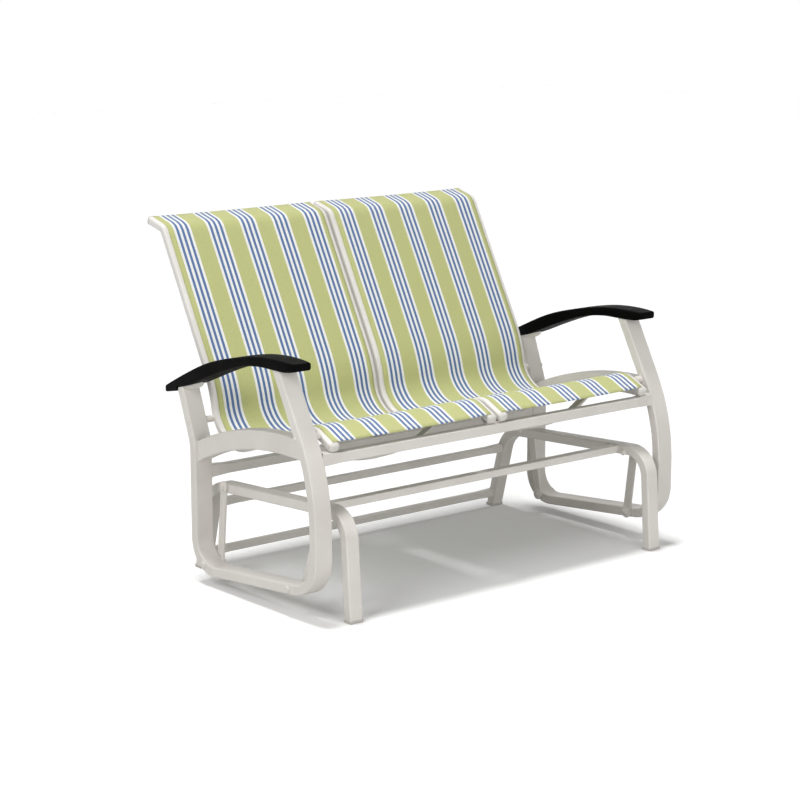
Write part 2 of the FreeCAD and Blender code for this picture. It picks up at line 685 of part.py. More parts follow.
def bushing(y, z, x, clearance):
    """Flanged sleeve through a link eye, its bore running on the pivot bolt."""
    half = LINK_THICK / 2
    outer = half + BUSH_FLANGE
    sleeve = rod(y, z, x - outer, x + outer, EYE_BORE)
    for x0, x1 in ((x - outer, x - half), (x + half, x + outer)):
        sleeve = sleeve.fuse(rod(y, z, x0, x1, BUSH_FLANGE_RADIUS))
    bore = rod(y, z, x - outer - OVERCUT, x + outer + OVERCUT, BOLT_RADIUS + clearance)
    return sleeve.cut(bore).removeSplitter()


def link_bushings(front):
    top = upper_pivot(front)
    foot = lower_pivot(front)
    foot_clearance = RUNNING_CLEARANCE if front else OPEN_PIVOT_CLEARANCE
    return [
        bushing(top[0], top[1], -LINK_TOP_X, RUNNING_CLEARANCE),
        bushing(foot[0], foot[1], -LINK_FOOT_X, foot_clearance),
    ]


def domed(y, z, base_x, tall, radius):
    """Bolt head or cap nut along X with an eased rim; tall is negative towards the left."""
    disc = rod(y, z, base_x, base_x + tall, radius)
    rim = [e for e in disc.Edges if abs(e.BoundBox.XMin - (base_x + tall)) < NEAR]
    return disc.makeChamfer(abs(tall) * HEAD_EASE, rim)


def pivot_bolt(y, z, head_x, nut_x):
    """Pivot bolt of the left side: head outboard of head_x and cap nut inboard of nut_x."""
    head = domed(y, z, head_x, -BOLT_HEAD_TALL, BOLT_HEAD_RADIUS)
    nut = domed(y, z, nut_x, NUT_TALL, NUT_RADIUS)
    return rod(y, z, head_x, nut_x, BOLT_RADIUS).fuse(head).fuse(nut).removeSplitter()


def upper_pivot_bolts():
    """Bolts through the base rails, heads outboard of the link eyes."""
    head_x = -(LINK_TOP_X + LINK_THICK / 2 + BUSH_FLANGE + SIDE_CLEARANCE)
    bolts = [pivot_bolt(*upper_pivot(is_front), head_x, -BASE_INNER_X) for is_front in (True, False)]
    return bolts + [mirrored(bolt) for bolt in bolts]


def lower_pivot_bolts():
    """Bolts through the runners, heads on the outer faces, nuts inboard of the link eyes."""
    nut_x = -(LINK_FOOT_X - LINK_THICK / 2 - BUSH_FLANGE - SIDE_CLEARANCE)
    bolts = [pivot_bolt(*lower_pivot(is_front), -FRAME_OUTER_X, nut_x) for is_front in (True, False)]
    return bolts + [mirrored(bolt) for bolt in bolts]


def rail_points():
    points = [RAIL_FRONT, RAIL_HUMP, RAIL_SEAT_BACK, RAIL_LUMBAR, RAIL_TOP_BEND, RAIL_END]
    radii = [HUMP_RADIUS, SEAT_BACK_RADIUS, LUMBAR_RADIUS, TOP_BEND_RADIUS]
    return points, radii


def rail_frame():
    """Start point, forward tangent and outward normal of the rail's centre line."""
    tangent = unit(RAIL_FRONT, RAIL_HUMP)
    return side_point(RAIL_FRONT), Vector(0, -tangent[1], tangent[0])


def rail_section(x):
    """Face of the rail: a keyhole slot for the sling's edge over a hollow chamber."""
    start, normal = rail_frame()
    centre = start + Vector(x, 0, 0)
    sideways = Vector(1, 0, 0)
    outline = rounded_rectangle(centre, sideways, normal, RAIL_WIDE, RAIL_DEEP, RAIL_CORNER)
    half = RAIL_DEEP / 2
    slot_centre = centre + normal * (half - SLOT_DEPTH)
    chamber_tall = RAIL_DEEP - SLOT_DEPTH - SLOT_RADIUS - 2 * RAIL_WALL
    chamber_centre = centre - normal * (half - RAIL_WALL - chamber_tall / 2)
    chamber = rounded_rectangle(chamber_centre, sideways, normal,
                                RAIL_WIDE - 2 * RAIL_WALL, chamber_tall, RAIL_WALL)
    mouth = SLOT_MOUTH / 2
    neck = math.sqrt(SLOT_RADIUS ** 2 - mouth ** 2)

    def at(u, v):
        return slot_centre + sideways * u + normal * v

    top = SLOT_DEPTH + OVERCUT
    slot = Part.Wire([
        Part.LineSegment(at(mouth, top), at(-mouth, top)).toShape(),
        Part.LineSegment(at(-mouth, top), at(-mouth, neck)).toShape(),
        Part.Arc(at(-mouth, neck), at(0, -SLOT_RADIUS), at(mouth, neck)).toShape(),
        Part.LineSegment(at(mouth, neck), at(mouth, top)).toShape(),
    ])
    return Part.Face(outline).cut(Part.Face(chamber)).cut(Part.Face(slot)).Faces[0]


def sling_rail(x):
    points, radii = rail_points()
    path = fillet_path(points, radii, lambda p: side_point(p, x))
    return swept(path, rail_section(x))


def end_cap(x, front):
    """Round-nosed plastic cap on a rail end, with a plug in the rail's chamber."""
    points, _ = rail_points()
    if front:
        end = points[0]
        outward = unit(points[1], points[0])
    else:
        end = points[-1]
        outward = unit(points[-2], points[-1])
    direction = Vector(0, outward[0], outward[1])
    sideways = Vector(1, 0, 0)
    normal = Vector(0, -outward[1], outward[0]) * (-1 if front else 1)
    end_point = side_point(end, x)
    wide = RAIL_WIDE + 2 * CAP_LIP
    deep = RAIL_DEEP + 2 * CAP_LIP
    corner = RAIL_CORNER + CAP_LIP
    base = rounded_rectangle(end_point, sideways, normal, wide, deep, corner)
    cap = Part.Face(base).extrude(direction * CAP_LENGTH)
    nose = [e for e in cap.Edges
            if all((v.Point - end_point).dot(direction) > CAP_LENGTH - NEAR for v in e.Vertexes)]
    cap = cap.makeFillet(CAP_NOSE, nose)
    chamber_tall = RAIL_DEEP - SLOT_DEPTH - SLOT_RADIUS - 2 * RAIL_WALL
    plug_centre = end_point - normal * (RAIL_DEEP / 2 - RAIL_WALL - chamber_tall / 2)
    plug_wire = rounded_rectangle(plug_centre + direction * OVERCUT, sideways, normal,
                                  RAIL_WIDE - 2 * RAIL_WALL, chamber_tall, RAIL_WALL)
    plug = Part.Face(plug_wire).extrude(direction * -(CAP_PLUG + OVERCUT))
    return cap.fuse(plug).removeSplitter()


def sling(x_left, x_right):
    """Fabric stretched between two rails, with a hem down into each rail's slot."""
    points, radii = rail_points()
    middle_x = (x_left + x_right) / 2
    path = fillet_path(points, radii, lambda p: side_point(p, middle_x))
    start, normal = rail_frame()
    centre = start + Vector(middle_x, 0, 0)
    low = RAIL_DEEP / 2 + FABRIC_CLEARANCE
    high = low + FABRIC_THICK
    hem_low = RAIL_DEEP / 2 - SLOT_DEPTH + SPLINE_RADIUS + FABRIC_CLEARANCE
    half = (x_right - x_left) / 2
    hem = FABRIC_THICK / 2
    outline = [
        (-half - hem, hem_low), (-half + hem, hem_low), (-half + hem, low),
        (half - hem, low), (half - hem, hem_low), (half + hem, hem_low),
        (half + hem, high), (-half - hem, high), (-half - hem, hem_low),
    ]
    section = Part.makePolygon([centre + Vector(u, 0, 0) + normal * v for u, v in outline])
    cloth = swept(path, Part.Face(section))
    front_trim = end_trim(points[0], unit(points[1], points[0]))
    rear_trim = end_trim(points[-1], unit(points[-2], points[-1]))
    return cloth.cut(front_trim).cut(rear_trim)


def end_trim(end, outward):
    """Block that covers the last few millimetres of a path's end."""
    side = (-outward[1], outward[0])
    corners = []
    for along, across in ((-FABRIC_END_MARGIN, -FABRIC_TRIM), (FABRIC_TRIM, -FABRIC_TRIM),
                          (FABRIC_TRIM, FABRIC_TRIM), (-FABRIC_END_MARGIN, FABRIC_TRIM)):
        corners.append((end[0] + outward[0] * along + side[0] * across,
                        end[1] + outward[1] * along + side[1] * across))
    return extruded(corners, -FRAME_X, FRAME_X)


def spline_rod(x):
    """Round cord in the slot that holds the sling's hem."""
    points, radii = rail_points()
    path = fillet_path(points, radii, lambda p: side_point(p, x))
    start, normal = rail_frame()
    centre = start + Vector(x, 0, 0) + normal * (RAIL_DEEP / 2 - SLOT_DEPTH - SPLINE_DROP)
    tangent = path.Edges[0].tangentAt(path.Edges[0].FirstParameter)
    return swept(path, Part.Face(Part.Wire(Part.makeCircle(SPLINE_RADIUS, centre, tangent))))


def seat_rail_z(y):
    """Centre height of the sling rails over the straight run of the seat."""
    t = (y - RAIL_HUMP[0]) / (RAIL_SEAT_BACK[0] - RAIL_HUMP[0])
    return RAIL_HUMP[1] + t * (RAIL_SEAT_BACK[1] - RAIL_HUMP[1])


def back_rail_y(z):
    """Centre of the sling rails over the straight run of the back."""
    t = (z - RAIL_LUMBAR[1]) / (RAIL_TOP_BEND[1] - RAIL_LUMBAR[1])
    return RAIL_LUMBAR[0] + t * (RAIL_TOP_BEND[0] - RAIL_LUMBAR[0])


def bowed_bar(x_left, x_right, sag):
    """Flat bar bowed downwards between two rails, with a pad against each; z is 0 at its ends."""
    half = (x_right - x_left) / 2 - RAIL_WIDE / 2
    radius = (half ** 2 + sag ** 2) / (2 * sag)
    t = SPREADER_THICK

    def on_arc(x, r):
        return Vector(x, 0, radius - sag - math.sqrt(r ** 2 - x ** 2))

    edges = [
        Part.Arc(on_arc(-half, radius), on_arc(0, radius), on_arc(half, radius)).toShape(),
        Part.LineSegment(on_arc(half, radius), on_arc(half, radius + t)).toShape(),
        Part.Arc(on_arc(half, radius + t), on_arc(0, radius + t), on_arc(-half, radius + t)).toShape(),
        Part.LineSegment(on_arc(-half, radius + t), on_arc(-half, radius)).toShape(),
    ]
    face = Part.Face(Part.Wire(edges))
    face.translate(Vector(0, -SPREADER_WIDE / 2, 0))
    bar = face.extrude(Vector(0, SPREADER_WIDE, 0))
    for sign in (-1, 1):
        corner = Vector(sign * half - (t / 2 if sign > 0 else 0), -SPREADER_WIDE / 2, -SPREADER_PAD / 2)
        bar = bar.fuse(Part.makeBox(t / 2, SPREADER_WIDE, SPREADER_PAD, corner))
    bar = bar.removeSplitter()
    bar.translate(Vector((x_left + x_right) / 2, 0, 0))
    return bar


def seat_spreader(x_left, x_right):
    bar = bowed_bar(x_left, x_right, SEAT_SPREADER_SAG)
    slope = math.degrees(math.atan2(RAIL_SEAT_BACK[1] - RAIL_HUMP[1], RAIL_SEAT_BACK[0] - RAIL_HUMP[0]))
    bar.rotate(Vector(0, 0, 0), Vector(1, 0, 0), slope)
    bar.translate(Vector(0, SEAT_SPREADER_Y, seat_rail_z(SEAT_SPREADER_Y)))
    return bar


def back_spreader(x_left, x_right):
    bar = bowed_bar(x_left, x_right, BACK_SPREADER_SAG)
    slope = math.degrees(math.atan2(RAIL_TOP_BEND[1] - RAIL_LUMBAR[1], RAIL_TOP_BEND[0] - RAIL_LUMBAR[0]))
    bar.rotate(Vector(0, 0, 0), Vector(1, 0, 0), slope)
    bar.translate(Vector(0, back_rail_y(BACK_SPREADER_Z), BACK_SPREADER_Z))
    return bar


def spacer_places():
    """Axes of the spacers, moved from the uprights' centre lines towards the outer rails."""
    return [
        (rear_upright_y(REAR_SPACER_Z) - REAR_SPACER_FORWARD, REAR_SPACER_Z),
        (front_upright_y(FRONT_SPACER_Z) + FRONT_SPACER_BACK, FRONT_SPACER_Z),
    ]


def rail_spacers():
    """Round spacers that hold the outer rails off the side frames."""
    spacers = []
    for y, z in spacer_places():
        x0 = -FRAME_INNER_X
        x1 = -OUTER_RAIL_X - RAIL_WIDE / 2
        bore = rod(y, z, x0 - OVERCUT, x1 + OVERCUT, SPACER_BOLT_RADIUS)
        spacer = rod(y, z, x0, x1, SPACER_RADIUS).cut(bore)
        spacers += [spacer, mirrored(spacer)]
    return spacers


def spacer_bolts():
    """Bolts from the outer faces of the side frames to the outer rails."""
    bolts = []
    for y, z in spacer_places():
        head_x = -FRAME_OUTER_X
        shank = rod(y, z, head_x, -OUTER_RAIL_X - RAIL_WIDE / 2, SPACER_BOLT_RADIUS)
        head = domed(y, z, head_x, -SPACER_HEAD_TALL, SPACER_HEAD_RADIUS)
        bolt = shank.fuse(head).removeSplitter()
        bolts += [bolt, mirrored(bolt)]
    return bolts


def folded_strap(points):
    """Flat strap folded along side-plane points that run under its upper face."""
    half = BRACKET_WIDE / 2
    path = fillet_path(points, [BRACKET_FOLD] * (len(points) - 2), lambda p: side_point(p, -half))
    tangent = unit(points[0], points[1])
    down = Vector(0, tangent[1], -tangent[0]) * (BRACKET_THICK / 2)
    start = side_point(points[0], -half)
    across = Vector(BRACKET_WIDE, 0, 0)
    section = [start - down, start + down, start + down + across, start - down + across, start - down]
    return swept(path, Part.Face(Part.makePolygon(section)))


def rail_under_point(along, drop):
    """Point below the front straight run of the rails, measured back from its front end."""
    u = unit(RAIL_FRONT, RAIL_HUMP)
    return (RAIL_FRONT[0] + u[0] * along + u[1] * drop, RAIL_FRONT[1] + u[1] * along - u[0] * drop)


def front_bracket():
    """Strap from the top of the front cross rail to the underside of the middle rails.

    Its toe starts where the rails' front caps leave it room.
    """
    drop = RAIL_DEEP / 2 + SEAT_GAP + BRACKET_THICK / 2
    foot_z = FRONT_CROSS_Z + CROSS_SIZE / 2 + BRACKET_THICK / 2
    u = unit(RAIL_FRONT, RAIL_HUMP)
    below_cap = rail_under_point(0, RAIL_DEEP / 2 + CAP_LIP + FRONT_BRACKET_TOE_ROOM)
    toe_y = below_cap[0] + (foot_z + BRACKET_THICK / 2 - below_cap[1]) * u[0] / u[1]
    foot = [(toe_y, foot_z), (toe_y + FRONT_BRACKET_FOOT, foot_z)]
    return folded_strap(foot + [rail_under_point(along, drop) for along in FRONT_BRACKET_REST])


def rear_bracket():
    """Strap from the top of the rear cross rail to the middle rails where they turn upwards."""
    u = unit(RAIL_SEAT_BACK, RAIL_HUMP)
    v = unit(RAIL_SEAT_BACK, RAIL_LUMBAR)
    half = math.acos(u[0] * v[0] + u[1] * v[1]) / 2
    bisector = unit((0, 0), (u[0] + v[0], u[1] + v[1]))
    reach = SEAT_BACK_RADIUS / math.sin(half)
    centre = (RAIL_SEAT_BACK[0] + bisector[0] * reach, RAIL_SEAT_BACK[1] + bisector[1] * reach)
    radius = SEAT_BACK_RADIUS + RAIL_DEEP / 2 + SEAT_GAP + BRACKET_THICK / 2
    angle = math.radians(REAR_BRACKET_ANGLE)
    touch = (centre[0] + radius * math.sin(angle), centre[1] - radius * math.cos(angle))
    reach = REAR_BRACKET_REST / 2
    foot_z = REAR_CROSS_Z + CROSS_SIZE / 2 + BRACKET_THICK / 2
    return folded_strap([
        (touch[0] - reach * math.cos(angle), touch[1] - reach * math.sin(angle)),
        (touch[0] + reach * math.cos(angle), touch[1] + reach * math.sin(angle)),
    ] + [(REAR_UPRIGHT_Y + y, foot_z) for y in REAR_BRACKET_FOOT])


def build():
    """Every node's solids, left side first, as name: list of solids."""
    parts = {}
    tube = base_side()
    parts["base_side_left"] = [tube]
    parts["base_side_right"] = [mirrored(tube)]
    for front, label in ((True, "front"), (False, "rear")):
        glide = foot_glide(front)
        parts["foot_glide_%s_left" % label] = [glide]
        parts["foot_glide_%s_right" % label] = [mirrored(glide)]
        link = hanger_link(front)
        parts["hanger_%s_left" % label] = [link]
        parts["hanger_%s_right" % label] = [mirrored(link)]
        bushes = link_bushings(front)
        parts["bushings_%s_left" % label] = bushes
        parts["bushings_%s_right" % label] = [mirrored(b) for b in bushes]

    rear_leg_y = BASE_REAR_FOOT_Y - BASE_REAR_LEG_SLOPE * REAR_BRACE_UPPER_Z
    low_leg_y = BASE_REAR_FOOT_Y - BASE_REAR_LEG_SLOPE * REAR_BRACE_LOWER_Z
    braces = {
        "base_front_crossbar": (FRONT_BRACE_Y, base_rail_z(FRONT_BRACE_Y), FRONT_BRACE_DEEP),
        "base_rear_upper_crossbar": (rear_leg_y, REAR_BRACE_UPPER_Z, BRACE_SIZE),
        "base_rear_lower_crossbar": (low_leg_y, REAR_BRACE_LOWER_Z, BRACE_SIZE),
    }
    for name, (y, z, deep) in braces.items():
        flare = FRONT_BRACE_FLARE_TALL if name == "base_front_crossbar" else BRACE_FLARE_TALL
        parts[name] = [cross_tube(y, z, deep, BRACE_SIZE, BRACE_WALL, BRACE_CORNER, BASE_INNER_X, flare, 0)]
    parts["upper_pivot_bolts"] = upper_pivot_bolts()

    frame = side_frame()
    arch = side_arch()
    parts["side_frame_left"] = [frame]
    parts["side_frame_right"] = [mirrored(frame)]
    parts["side_arch_left"] = [arch]
    parts["side_arch_right"] = [mirrored(arch)]
    left_arm = arm()
    parts["arm_left"] = [left_arm]
    parts["arm_right"] = [mirrored(left_arm)]
    mount = arm_mount()
    parts["arm_mount_left"] = [mount]
    parts["arm_mount_right"] = [mirrored(mount)]
    parts["arm_screws"] = arm_screws()
    parts["lower_pivot_bolts"] = lower_pivot_bolts()

    for name, y, z, rise in (
        ("front_seat_rail", front_upright_y(FRONT_CROSS_Z), FRONT_CROSS_Z, CROSS_FLARE_RISE),
        ("rear_seat_rail", REAR_UPRIGHT_Y, REAR_CROSS_Z, 0),
    ):
        parts[name] = [cross_tube(y, z, CROSS_SIZE, CROSS_SIZE, CROSS_WALL, CROSS_CORNER,
                                  FRAME_INNER_X, CROSS_FLARE_TALL, rise)]
    stations = {
        "left_outer": -OUTER_RAIL_X,
        "left_inner": -INNER_RAIL_X,
        "right_inner": INNER_RAIL_X,
        "right_outer": OUTER_RAIL_X,
    }
    for label, x in stations.items():
        parts["sling_rail_" + label] = [sling_rail(x)]
        parts["rail_cap_front_" + label] = [end_cap(x, True)]
        parts["rail_cap_top_" + label] = [end_cap(x, False)]
    for label, x_left, x_right in (
        ("left", -OUTER_RAIL_X, -INNER_RAIL_X),
        ("right", INNER_RAIL_X, OUTER_RAIL_X),
    ):
        parts["sling_" + label] = [sling(x_left, x_right)]
        parts["sling_splines_" + label] = [spline_rod(x_left), spline_rod(x_right)]
        parts["seat_spreader_" + label] = [seat_spreader(x_left, x_right)]
        parts["back_spreader_" + label] = [back_spreader(x_left, x_right)]
    parts["rail_spacers"] = rail_spacers()
    parts["spacer_bolts"] = spacer_bolts()
    parts["middle_bracket_front"] = [front_bracket()]
    parts["middle_bracket_rear"] = [rear_bracket()]
    return parts


def export(parts):
    """Centre the bench over the origin and write one file per node."""
    os.makedirs("parts", exist_ok=True)
    box = FreeCAD.BoundBox()
    for solids in parts.values():
        for solid in solids:
            box.add(solid.optimalBoundingBox(False, False))
    shift = Vector(0, -round((box.YMin + box.YMax) / 2, 3), 0)
    print("overall", [round(v, 2) for v in (box.XLength, box.YLength, box.ZLength)])
    print("shift y", round(shift.y, 3))
    for name, solids in parts.items():
        shape = solids[0] if len(solids) == 1 else Part.makeCompound(solids)
        shape.translate(shift)
        shape.exportStep("parts/%s.step" % name)
    print(len(parts), "nodes")


export(build())
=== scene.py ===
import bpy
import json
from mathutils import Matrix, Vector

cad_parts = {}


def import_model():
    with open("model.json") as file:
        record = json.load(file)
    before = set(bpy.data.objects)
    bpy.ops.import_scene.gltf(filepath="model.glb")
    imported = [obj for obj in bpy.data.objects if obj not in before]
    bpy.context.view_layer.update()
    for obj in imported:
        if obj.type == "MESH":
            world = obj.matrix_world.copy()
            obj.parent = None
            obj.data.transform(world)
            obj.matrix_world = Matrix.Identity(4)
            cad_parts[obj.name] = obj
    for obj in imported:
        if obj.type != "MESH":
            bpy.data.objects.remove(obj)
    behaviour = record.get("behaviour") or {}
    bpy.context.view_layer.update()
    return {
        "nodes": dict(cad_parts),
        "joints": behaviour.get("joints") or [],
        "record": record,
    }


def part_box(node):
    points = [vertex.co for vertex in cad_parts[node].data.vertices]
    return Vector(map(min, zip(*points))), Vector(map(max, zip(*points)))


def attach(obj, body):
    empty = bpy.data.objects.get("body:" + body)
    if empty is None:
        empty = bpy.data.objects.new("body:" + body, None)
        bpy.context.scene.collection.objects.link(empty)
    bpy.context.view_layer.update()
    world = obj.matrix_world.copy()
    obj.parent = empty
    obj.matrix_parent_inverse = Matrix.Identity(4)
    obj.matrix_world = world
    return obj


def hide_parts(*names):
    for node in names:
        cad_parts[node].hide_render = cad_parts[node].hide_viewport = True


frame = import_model()

import json
import math
import random
from collections import namedtuple

import bpy
from mathutils import Vector

# Everything is in metres. Y and Z of the shapes below are measured from the front feet and
# the floor, and SHIFT moves them into the frame's own Y.
HANGER_Y = 0.097
PIVOTS = {joint["name"]: joint for joint in frame["joints"]}
SHIFT = PIVOTS["front_left_hanger_swing"]["pos_m"][1] - HANGER_Y
CARRIAGE = "carriage"
BASE = "base"
SIDES = {"left": -1, "right": 1}

# Sling rails: centre line in the side plane, front end first, its bend radii, and their X
RAIL_POINTS = [(0.0672, 0.4187), (0.131, 0.4495), (0.5195, 0.3185), (0.552, 0.490),
               (0.7565, 0.866), (0.8155, 0.8818)]
RAIL_RADII = [0.050, 0.1025, 0.3025, 0.026]
RAIL_X = {"left": (-0.5165, -0.0185), "right": (0.0185, 0.5165)}
INNER_REACH = 0.1
RAIL_DEEP = 0.021
SLOT_DEPTH = 0.0055

# Slings
CLOTH_THICK = 0.0011
CLOTH_LIFT = 0.0006
CLOTH_COLUMNS = 44
CLOTH_CROWDING = 0.25
CLOTH_STEP = 0.012
CLOTH_END = 0.0016
CLOTH_MAP = "cloth"

# The pull across the bends: a sling's middle is drawn in by CLOTH_PULL where the smoothed
# bend is PULL_BEND_UNIT, in radians a metre
CLOTH_PULL = 0.0045
PULL_REACH = 0.085
PULL_BEND_LIMIT = 12.0
PULL_BEND_UNIT = 5.0

# Hems and their stitches
HEM_LENGTH = 0.024
HEM_SPARE = 0.002
HEM_SIDE = 0.036
HEM_DROP = 1.15 * CLOTH_THICK
STITCH_INSET = 0.018
STITCH_MARGIN = 0.05
STITCH_LONG = 0.0036
STITCH_PITCH = 0.0052
STITCH_RADIUS = 0.00042
STITCH_FLAT = 1.25
STITCH_HUMP = 0.9
STITCH_SINK = 0.35
STITCH_RINGS = 5
STITCH_AROUND = 6

# Stripes and weave; STRIPE_START is how many repeats lie left of a sling's middle
STRIPE_PITCH = 0.104
STRIPE_START = 20.5
STRIPE_LINES = 7
STRIPE_SHARE = 0.515
WEAVE_PITCH = 0.0016

# Arms: points (y, z) of the top and the underside from front to rear, and (y, half width)
ARM_X = 0.575
ARM_TOP = [(0.104, 0.6185), (0.166, 0.6212), (0.226, 0.6195), (0.279, 0.6135), (0.350, 0.6000),
           (0.423, 0.5820), (0.477, 0.5640), (0.554, 0.5310), (0.647, 0.4880)]
ARM_UNDER = [(0.104, 0.6005), (0.130, 0.5955), (0.185, 0.5945), (0.235, 0.5945), (0.298, 0.5870),
             (0.370, 0.5680), (0.446, 0.5405), (0.539, 0.5040), (0.589, 0.4900)]
ARM_BLOCK = [(0.589, 0.4815), (0.647, 0.4700)]
ARM_BLOCK_STEP = 0.0004
ARM_HALF = [(0.104, 0.0250), (0.130, 0.0290), (0.200, 0.0320), (0.370, 0.0330), (0.520, 0.0320),
            (0.600, 0.0290), (0.647, 0.0260)]
ARM_EDGE = 0.005
ARM_EDGE_POINTS = 5
ARM_TIP_EDGE = 0.003
ARM_TIP_POINTS = 4
ARM_STEP = 0.006

# Domed caps on the front ends of the sling rails
CAP_WIDE = 0.0286
CAP_DEEP = 0.0226
CAP_CORNER = 0.0085
CAP_CORNER_POINTS = 6
CAP_STRAIGHT = 0.0030
CAP_DOME = 0.0095
CAP_BLUNT = 0.6
CAP_RINGS = 9

# Bosses under the arms' rear ends, on the uprights' sloped tops
BOSS_CENTRE = (0.560, 0.4989)
BOSS_SLOPE = 0.262
BOSS_LONG = 0.074
BOSS_WIDE = 0.044
BOSS_TALL = 0.006
BOSS_DOME = 0.012
BOSS_BLUNT = 0.7
BOSS_RINGS = 8
BOSS_SIDES = 40

# Weld beads: their section, their ripple in steps along the bead, and where they lie
WELD_RADIUS = 0.0016
WELD_SIDES = 8
WELD_STEP = 0.0011
WELD_RIPPLE = 0.16
WELD_RIPPLE_STEPS = 3.0
WELD_UNEVEN = 0.05
WELD_PARALLEL = 0.1
WELD_CORNER = 0.0035
WELD_CORNER_POINTS = 4
WELD_INSET = 0.0006
RIM_DEEP = 0.0005
ARCH_RIM_TALL = 0.002
ARCH_REACH = {"front": 0.012, "rear": 0.009}
WELDED_TUBES = {
    "front_seat_rail": CARRIAGE,
    "rear_seat_rail": CARRIAGE,
    "base_front_crossbar": BASE,
    "base_rear_upper_crossbar": BASE,
    "base_rear_lower_crossbar": BASE,
}

# Floor and light
FLOOR_HALF = 14.0
FLOOR_DROP = 0.0004
FLOOR_TONE = 1.0
FLOOR_BOUNCE = 0.55
FLOOR_GLOW = 0.03
AMBIENT = 0.30
SUN = 2.12
SUN_SPREAD = 11.0
SUN_DIRECTION = (0.03, -0.16, -1.0)
LAMP_TARGET = (0.0, 0.0, 0.40)

# Camera
CAMERA_PLACE = (-3.6194, -3.9345 + SHIFT, 1.5807)
CAMERA_TILT = 78.2755
CAMERA_TURN = -39.582
CAMERA_SENSOR = 36.0
CAMERA_LENS = 99.19
CAMERA_REACH = 100.0

# Most values of a noise texture lie between these two
NOISE_LOW = 0.3
NOISE_HIGH = 0.7

# A route's sample: its place, its unit normal, how far along it lies, and the bend there
Sample = namedtuple("Sample", "y z normal_y normal_z distance bend")

random.seed(4)


def linear(red, green, blue):
    """Linear colour of an sRGB colour given in 0 to 255."""
    values = []
    for channel in (red, green, blue):
        c = channel / 255
        values.append(c / 12.92 if c <= 0.04045 else ((c + 0.055) / 1.055) ** 2.4)
    return (*values, 1.0)


def grey(value):
    return (value, value, value, 1.0)


def scaled(colour, factor):
    """A colour made paler or darker."""
    return tuple(min(1.0, c * factor) for c in colour[:3]) + (1.0,)


class Nodes:
    """Short way to lay out a material's nodes."""

    def __init__(self, name):
        self.material = bpy.data.materials.new(name)
        self.material.use_nodes = True
        self.tree = self.material.node_tree
        self.shader = self.tree.nodes["Principled BSDF"]

    def add(self, kind, **values):
        node = self.tree.nodes.new(kind)
        for key, value in values.items():
            setattr(node, key, value)
        return node

    def link(self, source, target):
        self.tree.links.new(source, target)

    def drive(self, socket, source):
        """Links a source to one of the shader's own sockets."""
        self.link(source, self.shader.inputs[socket])

    def put(self, value, socket):
        """Sets a socket to a number or a colour, or links a source to it."""
        if isinstance(value, (int, float, tuple)):
            socket.default_value = value
        else:
            self.link(value, socket)

    def object_place(self):
        return self.add("ShaderNodeTexCoord").outputs["Object"]

    def math(self, operation, *values):
        node = self.add("ShaderNodeMath", operation=operation)
        for socket, value in zip(node.inputs, values):
            self.put(value, socket)
        return node.outputs[0]

    def noise(self, coordinates, scale, detail=3.0):
        node = self.add("ShaderNodeTexNoise")
        node.inputs["Scale"].default_value = scale
        node.inputs["Detail"].default_value = detail
        self.link(coordinates, node.inputs["Vector"])
        return node.outputs["Fac"]

    def ramp(self, factor, stops, interpolation="LINEAR"):
        node = self.add("ShaderNodeValToRGB")
        node.color_ramp.interpolation = interpolation
        elements = node.color_ramp.elements
        while len(elements) < len(stops):
            elements.new(0.5)
        for element, (position, colour) in zip(elements, stops):
            element.position = position
            element.color = colour
        self.link(factor, node.inputs["Fac"])
        return node.outputs["Color"]

    def between(self, factor, first, second, low=NOISE_LOW, high=NOISE_HIGH):
        """Tone that goes from the first colour to the second over a stretch of the factor."""
        return self.ramp(factor, [(low, first), (high, second)])

    def blend(self, mode, factor, first, second):
        """Mix of two colours, which are the node's inputs 6 and 7 and its output 2."""
        node = self.add("ShaderNodeMix", data_type="RGBA", blend_type=mode)
        self.put(factor, node.inputs[0])
        self.put(first, node.inputs[6])
        self.put(second, node.inputs[7])
        return node.outputs[2]

    def bump(self, height, distance, strength):
        node = self.add("ShaderNodeBump")
        node.inputs["Strength"].default_value = strength
        node.inputs["Distance"].default_value = distance
        self.link(height, node.inputs["Height"])
        self.drive("Normal", node.outputs["Normal"])

    def set(self, **values):
        for key, value in values.items():
            self.shader.inputs[key.replace("_", " ")].default_value = value


def powder_coat(name, colour, dark, roughness):
    """Textured powder coat: cloudy tone, fine orange peel, and a painted highlight that makes the
    sharp edges a little paler.
    """
    nodes = Nodes(name)
    place = nodes.object_place()
    cloud = nodes.between(nodes.noise(place, scale=9.0), dark, colour)
    speckle = nodes.noise(place, scale=900.0, detail=2.0)
    grain = nodes.between(speckle, grey(0.90), grey(1.0), low=0.35, high=0.65)
    tone = nodes.blend("MULTIPLY", factor=0.5, first=cloud, second=grain)
    # Painted highlight: the convex edges, found by their pointiness, are painted a little paler.
    edge = nodes.add("ShaderNodeNewGeometry").outputs["Pointiness"]
    edge_highlight = nodes.between(edge, grey(0.0), grey(0.35), low=0.52, high=0.62)
    pale = scaled(colour, 1.12)
    nodes.drive("Base Color", nodes.blend("MIX", factor=edge_highlight, first=tone, second=pale))
    haze = nodes.noise(place, scale=60.0)
    nodes.drive("Roughness", nodes.between(haze, grey(roughness - 0.05), grey(roughness + 0.07)))
    peel = nodes.noise(place, scale=700.0, detail=2.0)
    nodes.bump(peel, distance=0.0001, strength=0.35)
    nodes.set(Specular_IOR_Level=0.42)
    return nodes.material


